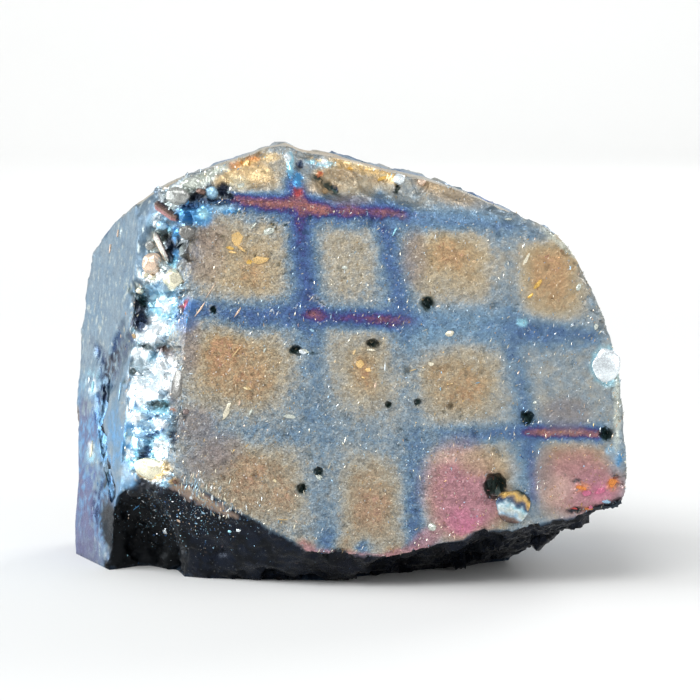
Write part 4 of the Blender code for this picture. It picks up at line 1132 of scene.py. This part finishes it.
# The stone itself.
points, triangles, facets = coarse_mesh()
zone = find_zones(points, triangles, facets)
points, triangles, tags = refine(points, triangles, np.stack((zone, facets), 1))
points = lower_top(points)
zone = tags[:, 0]
weights = zone_weights(len(points), triangles, zone)
bevelled = weights[:, LEFT] * (plane_distance(points, LEFT_PLANE) < -0.15)
broken = np.clip(weights[:, CORNER] + 0.7 * weights[:, UNDER] + bevelled, 0.0, 1.0)
points = soften(points, triangles, broken * (weights[:, BASE] == 0.0), 14)
points, dents, tone = roughen(points, point_normals(points, triangles), weights)
values = paint(points, point_normals(points, triangles), weights, dents, tone)
tone = np.random.default_rng(5).uniform(-1.0, 1.0, tags[:, 1].max() + 1)
facet_tone = np.zeros(len(points))
facet_tone[triangles.reshape(-1)] = np.repeat(tone[tags[:, 1]], 3)
values["film"] = np.clip(values["film"] + weights[:, CRYSTAL] * 0.14 * facet_tone, 0.0, 1.0)
stone = make_piece("quartz_stone", points, triangles, values, np.isin(zone, (FRONT, CORNER, BASE, CRYSTAL)))
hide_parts("quartz_cluster")

film = values["film"]
middles, normals, areas = triangle_facts(points, triangles)
surface = BVHTree.FromPolygons(points.tolist(), triangles.tolist())
rng = np.random.default_rng(11)


def surface_at(x, z):
    """The place, normal and triangle where the camera sees a spot of the front's plane on the stone."""
    on_plane = np.array((x, FRONT_PLANE[0][1] + z * FRONT_OUT[2] / -FRONT_OUT[1], z))
    hit, normal, index, _ = surface.ray_cast(Vector(EYE), Vector(on_plane - EYE).normalized())
    return (np.array(hit), np.array(normal), index) if hit is not None else None


def hidden_from_camera(point):
    """True if the stone stands between the camera and a point on its back."""
    along = Vector(point - EYE)
    hit, _, _, distance = surface.ray_cast(Vector(EYE), along.normalized())
    return hit is not None and distance < along.length - 1.0


def scattered(count, chance):
    """Random spots on the stone: the triangle, place and normal of each. chance weighs the triangles."""
    weight = areas * chance
    chosen = rng.choice(len(triangles), count, p=weight / weight.sum())
    share = rng.dirichlet((1.0, 1.0, 1.0), count)
    return zip(chosen, (points[triangles[chosen]] * share[:, :, None]).sum(axis=1), normals[chosen])


def blend(height, stops, tints):
    """The colour at each height between tints that lie at these stops."""
    colours = np.array([linear(tint) for tint in tints])
    return np.stack([np.interp(height, stops, channel) for channel in colours.T], 1)


# Splinters and grains of quartz that stand out of the sawn front.
grains = Heap()
chance = np.where(zone == FRONT, 1.0, np.where(zone == TOP, 0.7, 0.0))
for index, place, _ in scattered(GRAIN_COUNT, chance):
    length = min(0.75, rng.lognormal(-1.5, 0.5))
    width = rng.uniform(0.03, 0.065)
    axes = frame_at(FRONT_OUT + 0.25 * rng.normal(size=3), rng.normal(18.0, 32.0))
    body = shard(place - 0.01 * axes[2], axes, (width, length / 2, width * 0.9), rng)
    value = film[triangles[index][0]] + rng.normal(0.0, 0.07)
    tint = rng.choice((None, "cream", "ice", "gold"), p=(0.5, 0.26, 0.12, 0.12))
    grains.add(body, tint, value, 0.95, cover=rng.choice((0.25, 0.5, 0.8), p=(0.45, 0.4, 0.15)))
# Brighter grains, most over the paler film; their white and cream tints are partly painted glints.
chance = np.where(zone == FRONT, 0.3 + ease(film[triangles].mean(axis=1), 0.36, 0.5), 0.0)
for _, place, _ in scattered(BRIGHT_GRAIN_COUNT, chance):
    axes = frame_at(FRONT_OUT + 0.2 * rng.normal(size=3), rng.normal(22.0, 22.0))
    width = rng.uniform(0.035, 0.075)
    body = shard(place, axes, (width, rng.uniform(0.12, 0.34), width), rng)
    tint = rng.choice(("cream", "white", "ice", "peach"), p=(0.4, 0.25, 0.25, 0.1))
    grains.add(body, tint, 0.4, 0.95, cover=rng.choice((0.5, 0.85)))
grains.piece("front_grains")


def seat(x, z, rise):
    """The place and the direction out for a small body. In the broken corner it is raised by rise."""
    place, normal, index = surface_at(x, z)
    if zone[index] == CORNER:
        return place + rise * CORNER_LOOKS, CORNER_LOOKS
    return place, normal if normal[1] < -0.2 else np.array((0.0, -1.0, 0.0))


beads = Heap()
for number, (x, z, across, up, deep, turn, tint) in enumerate(BEADS):
    place, normal = seat(x, z, 0.4 * min(across, up, deep))
    body = pebble(place, frame_at(normal, turn), (across, up, deep), number)
    beads.add(body, tint, 0.45, 0.75, 0.3)
beads.piece("beads_and_pebbles", False)

# The glassy nugget in the largest pit, in bands of colour over its height, with a white patch low on it that
# is a painted highlight and stands a little proud.
nugget = Heap()
place = surface_at(*NUGGET)[0]
axes = frame_at(FRONT_OUT)
corners, faces = pebble(place - 0.35 * axes[2], axes, (1.6, 1.55, 1.1), 80, 0.62)
across, height = (corners - place) @ axes[0], (corners - place) @ axes[1]
height = height + 0.3 * across ** 2 / 1.6 + 0.35 * across + 0.5 * lumps(corners, 0.7, 9) - 0.15
white_highlight_patch = ease(lumps(corners, 0.22, 14) + lumps(corners, 0.5, 15), 0.0, 0.4)
white_highlight_patch *= (1.0 - ease(height, -0.1, 0.3)) * ease(height, -1.1, -0.8)
own = blend(height, *NUGGET_BANDS)
# Painted highlight: the patch low on the nugget is laid white.
own += (linear("white") - own) * 0.6 * white_highlight_patch[:, None]
nugget.add((corners + 0.05 * white_highlight_patch[:, None] * axes[2], faces), "cream", 0.4, 0.95, 0.5, own=own)
nugget.piece("nugget")

flakes = Heap()
for x, z, across, up, turn, tint in FLAKES:
    place, normal = seat(x, z, 0.04)
    flakes.add(flake(place + 0.06 * normal, frame_at(normal, turn), (across, up), rng), tint, 0.3, 0.6, 0.3)
for first, last, half, upper, ridge, lower in RODS:
    start, end = seat(*first, 0.3 * half)[0], seat(*last, 0.3 * half)[0]
    corners, faces = rod(start, end, CORNER_LOOKS, half)
    height = (corners - start) @ np.cross(CORNER_LOOKS, (end - start) / np.linalg.norm(end - start)) / half
    own = blend(height, (-0.6, 0.0, 0.6), (lower, ridge, upper))
    flakes.add((corners, faces), ridge, 0.4, 0.6, 0.3, own=own)
flakes.piece("flakes_and_rods")

# Sparkling chips on the edge of the dark underside and in the broken corner; their white, cyan and ice tints
# are partly painted glints.
chips = Heap()
x, z = seen_at(middles)
spot_x, spot_z, spread_x, spread_z = SPARKLE_SPOT
chance = np.exp(-((x - spot_x) / spread_x) ** 2 - ((z - spot_z) / spread_z) ** 2) + 0.006
chance = np.where(zone == UNDER, chance, np.where(zone == CORNER, 0.04, 0.0)) * (normals[:, 1] < 0.2)
for _, place, normal in scattered(CHIP_COUNT, chance):
    size = min(0.2, rng.lognormal(-3.05, 0.5))
    axes = frame_at(normal + 0.4 * rng.normal(size=3), rng.uniform(-90.0, 90.0), (0.2, 0.1, 1.0))
    body = shard(place, axes, (size * 0.6, size, size * 0.4), rng)
    chips.add(body, rng.choice(CHIP_TINTS, p=CHIP_SHARES), 0.5, 1.0)
chips.piece("bright_chips")

# Pale splinters along the edges; their pale tints are partly painted glints.
splinters = Heap()
for count, scatter, size, row in SPLINTER_ROWS:
    row = np.array(row)
    for _ in range(count):
        along_row = rng.uniform(0.0, len(row) - 1.001)
        part, k = along_row % 1.0, int(along_row)
        x, z = row[k] + part * (row[k + 1] - row[k]) + rng.normal(0.0, scatter, 2)
        found = surface_at(x, z)
        if found is None or plane_distance(found[0], FRONT_PLANE) < -1.4 and zone[found[2]] == UNDER:
            continue
        axes = frame_at(found[1], rng.normal(18.0, 18.0))
        width = rng.uniform(0.035, 0.09)
        body = shard(found[0], axes, (width, size * rng.uniform(0.08, 0.3), width), rng)
        tint = rng.choice(("cream", "white", "ice", "peach"))
        splinters.add(body, tint, 0.4, 0.9, cover=rng.choice((0.35, 0.8)))
splinters.piece("rim_splinters")


def grow_points(count, chance, lowest, radii, lean, slimness, film_spread):
    """Adds small quartz points on the stone's far side, from the lowest height up."""
    for index, place, normal in scattered(count, chance):
        if place[2] < lowest:
            continue
        radius = rng.uniform(*radii)
        axes = frame_at(normal + lean * rng.normal(size=3), rng.uniform(0.0, 60.0), (0.1, 0.3, 1.0))
        corners, faces = crystal_point(place, axes, radius, radius * rng.uniform(*slimness), rng)
        if all(hidden_from_camera(corner) for corner in corners[6:]):
            value = film[triangles[index][0]] + rng.normal(0.0, film_spread)
            small_points.add((corners, faces), None, value, 0.95, 0.03)


# Small quartz points between the large ones on the back, and still smaller ones over the rough skin.
small_points = Heap()
chance = (zone == SKIN) * (middles[:, 1] > 6.0)
grow_points(BACK_POINT_COUNT, chance, 2.5, (0.28, 0.75), 0.3, (1.5, 2.8), 0.08)
chance = (zone == SKIN) * (middles[:, 1] > -5.0) * (0.3 + ease(lumps(middles, 5.0, 61), -0.1, 0.4))
grow_points(SKIN_POINT_COUNT, chance, 1.5, (0.1, 0.26), 0.5, (1.2, 2.2), 0.06)
small_points.piece("small_quartz_points")

# ---------------------------------------------------------------- floor, light and camera

def floor():
    """A pale floor that rises softly far behind the stone."""
    half_width, flat_end, bend, top, steps = 3.0, 1.2, 0.8, 3.0, 24
    profile = [(-2.0, 0.0), (flat_end, 0.0)]
    for k in range(1, steps + 1):
        angle = math.pi / 2 * k / steps
        profile.append((flat_end + bend * math.sin(angle), bend * (1.0 - math.cos(angle))))
    profile.append((flat_end + bend, top))
    verts = [(side * half_width, y, z) for y, z in profile for side in (-1, 1)]
    faces = [(2 * k, 2 * k + 1, 2 * k + 3, 2 * k + 2) for k in range(len(profile) - 1)]
    mesh = bpy.data.meshes.new("floor")
    mesh.from_pydata(verts, [], faces)
    mesh.polygons.foreach_set("use_smooth", [True] * len(faces))
    made = bpy.data.objects.new("floor", mesh)
    bpy.context.scene.collection.objects.link(made)
    material = bpy.data.materials.new("pale_floor")
    material.use_nodes = True
    shader = material.node_tree.nodes["Principled BSDF"]
    shader.inputs["Base Color"].default_value = (0.8, 0.8, 0.79, 1.0)
    shader.inputs["Roughness"].default_value = 0.9
    mesh.materials.append(material)


def soft_light(name, place, size, power, colour=(1.0, 1.0, 1.0), aim=(0.0, 0.0, 0.02)):
    """A large soft lamp that points at the stone, or at another aim, and isn't seen itself."""
    lamp = bpy.data.lights.new(name, "AREA")
    lamp.shape = "RECTANGLE"
    lamp.size, lamp.size_y = size
    lamp.energy = power
    lamp.color = colour
    made = bpy.data.objects.new(name, lamp)
    made.location = place
    made.rotation_euler = (Vector(aim) - Vector(place)).to_track_quat("-Z", "Y").to_euler()
    made.visible_camera = False
    bpy.context.scene.collection.objects.link(made)


floor()
soft_light("key_above", (-0.25, -0.55, 0.75), (0.5, 0.5), 4.6)
soft_light("side_left", (-0.8, 0.0, 0.25), (0.5, 0.5), 7.0, (0.93, 0.97, 1.0))
soft_light("rim_behind", (0.5, 0.65, 0.5), (0.4, 0.4), 3.0)
soft_light("backdrop", (0.0, 0.8, 1.1), (1.6, 0.4), 14.0, aim=(0.0, 2.0, 0.5))
soft_light("fill_right", (0.7, -0.5, 0.4), (0.6, 0.6), 2.4)

world = bpy.data.worlds.new("pale_world")
world.use_nodes = True
world.node_tree.nodes["Background"].inputs[0].default_value = (0.86, 0.88, 0.9, 1.0)
world.node_tree.nodes["Background"].inputs[1].default_value = 0.48
bpy.context.scene.world = world
bpy.context.scene.view_settings.view_transform = "Standard"

camera = bpy.data.cameras.new("camera")
camera.lens = 135.0
camera.sensor_width = 36.0
camera.clip_start = 0.01
camera.clip_end = 20.0
camera_object = bpy.data.objects.new("camera", camera)
camera_object.location = EYE * MM
camera_object.rotation_euler = (math.pi / 2 - VIEW_DOWN, 0.0, 0.0)
bpy.context.scene.collection.objects.link(camera_object)
bpy.context.scene.camera = camera_object
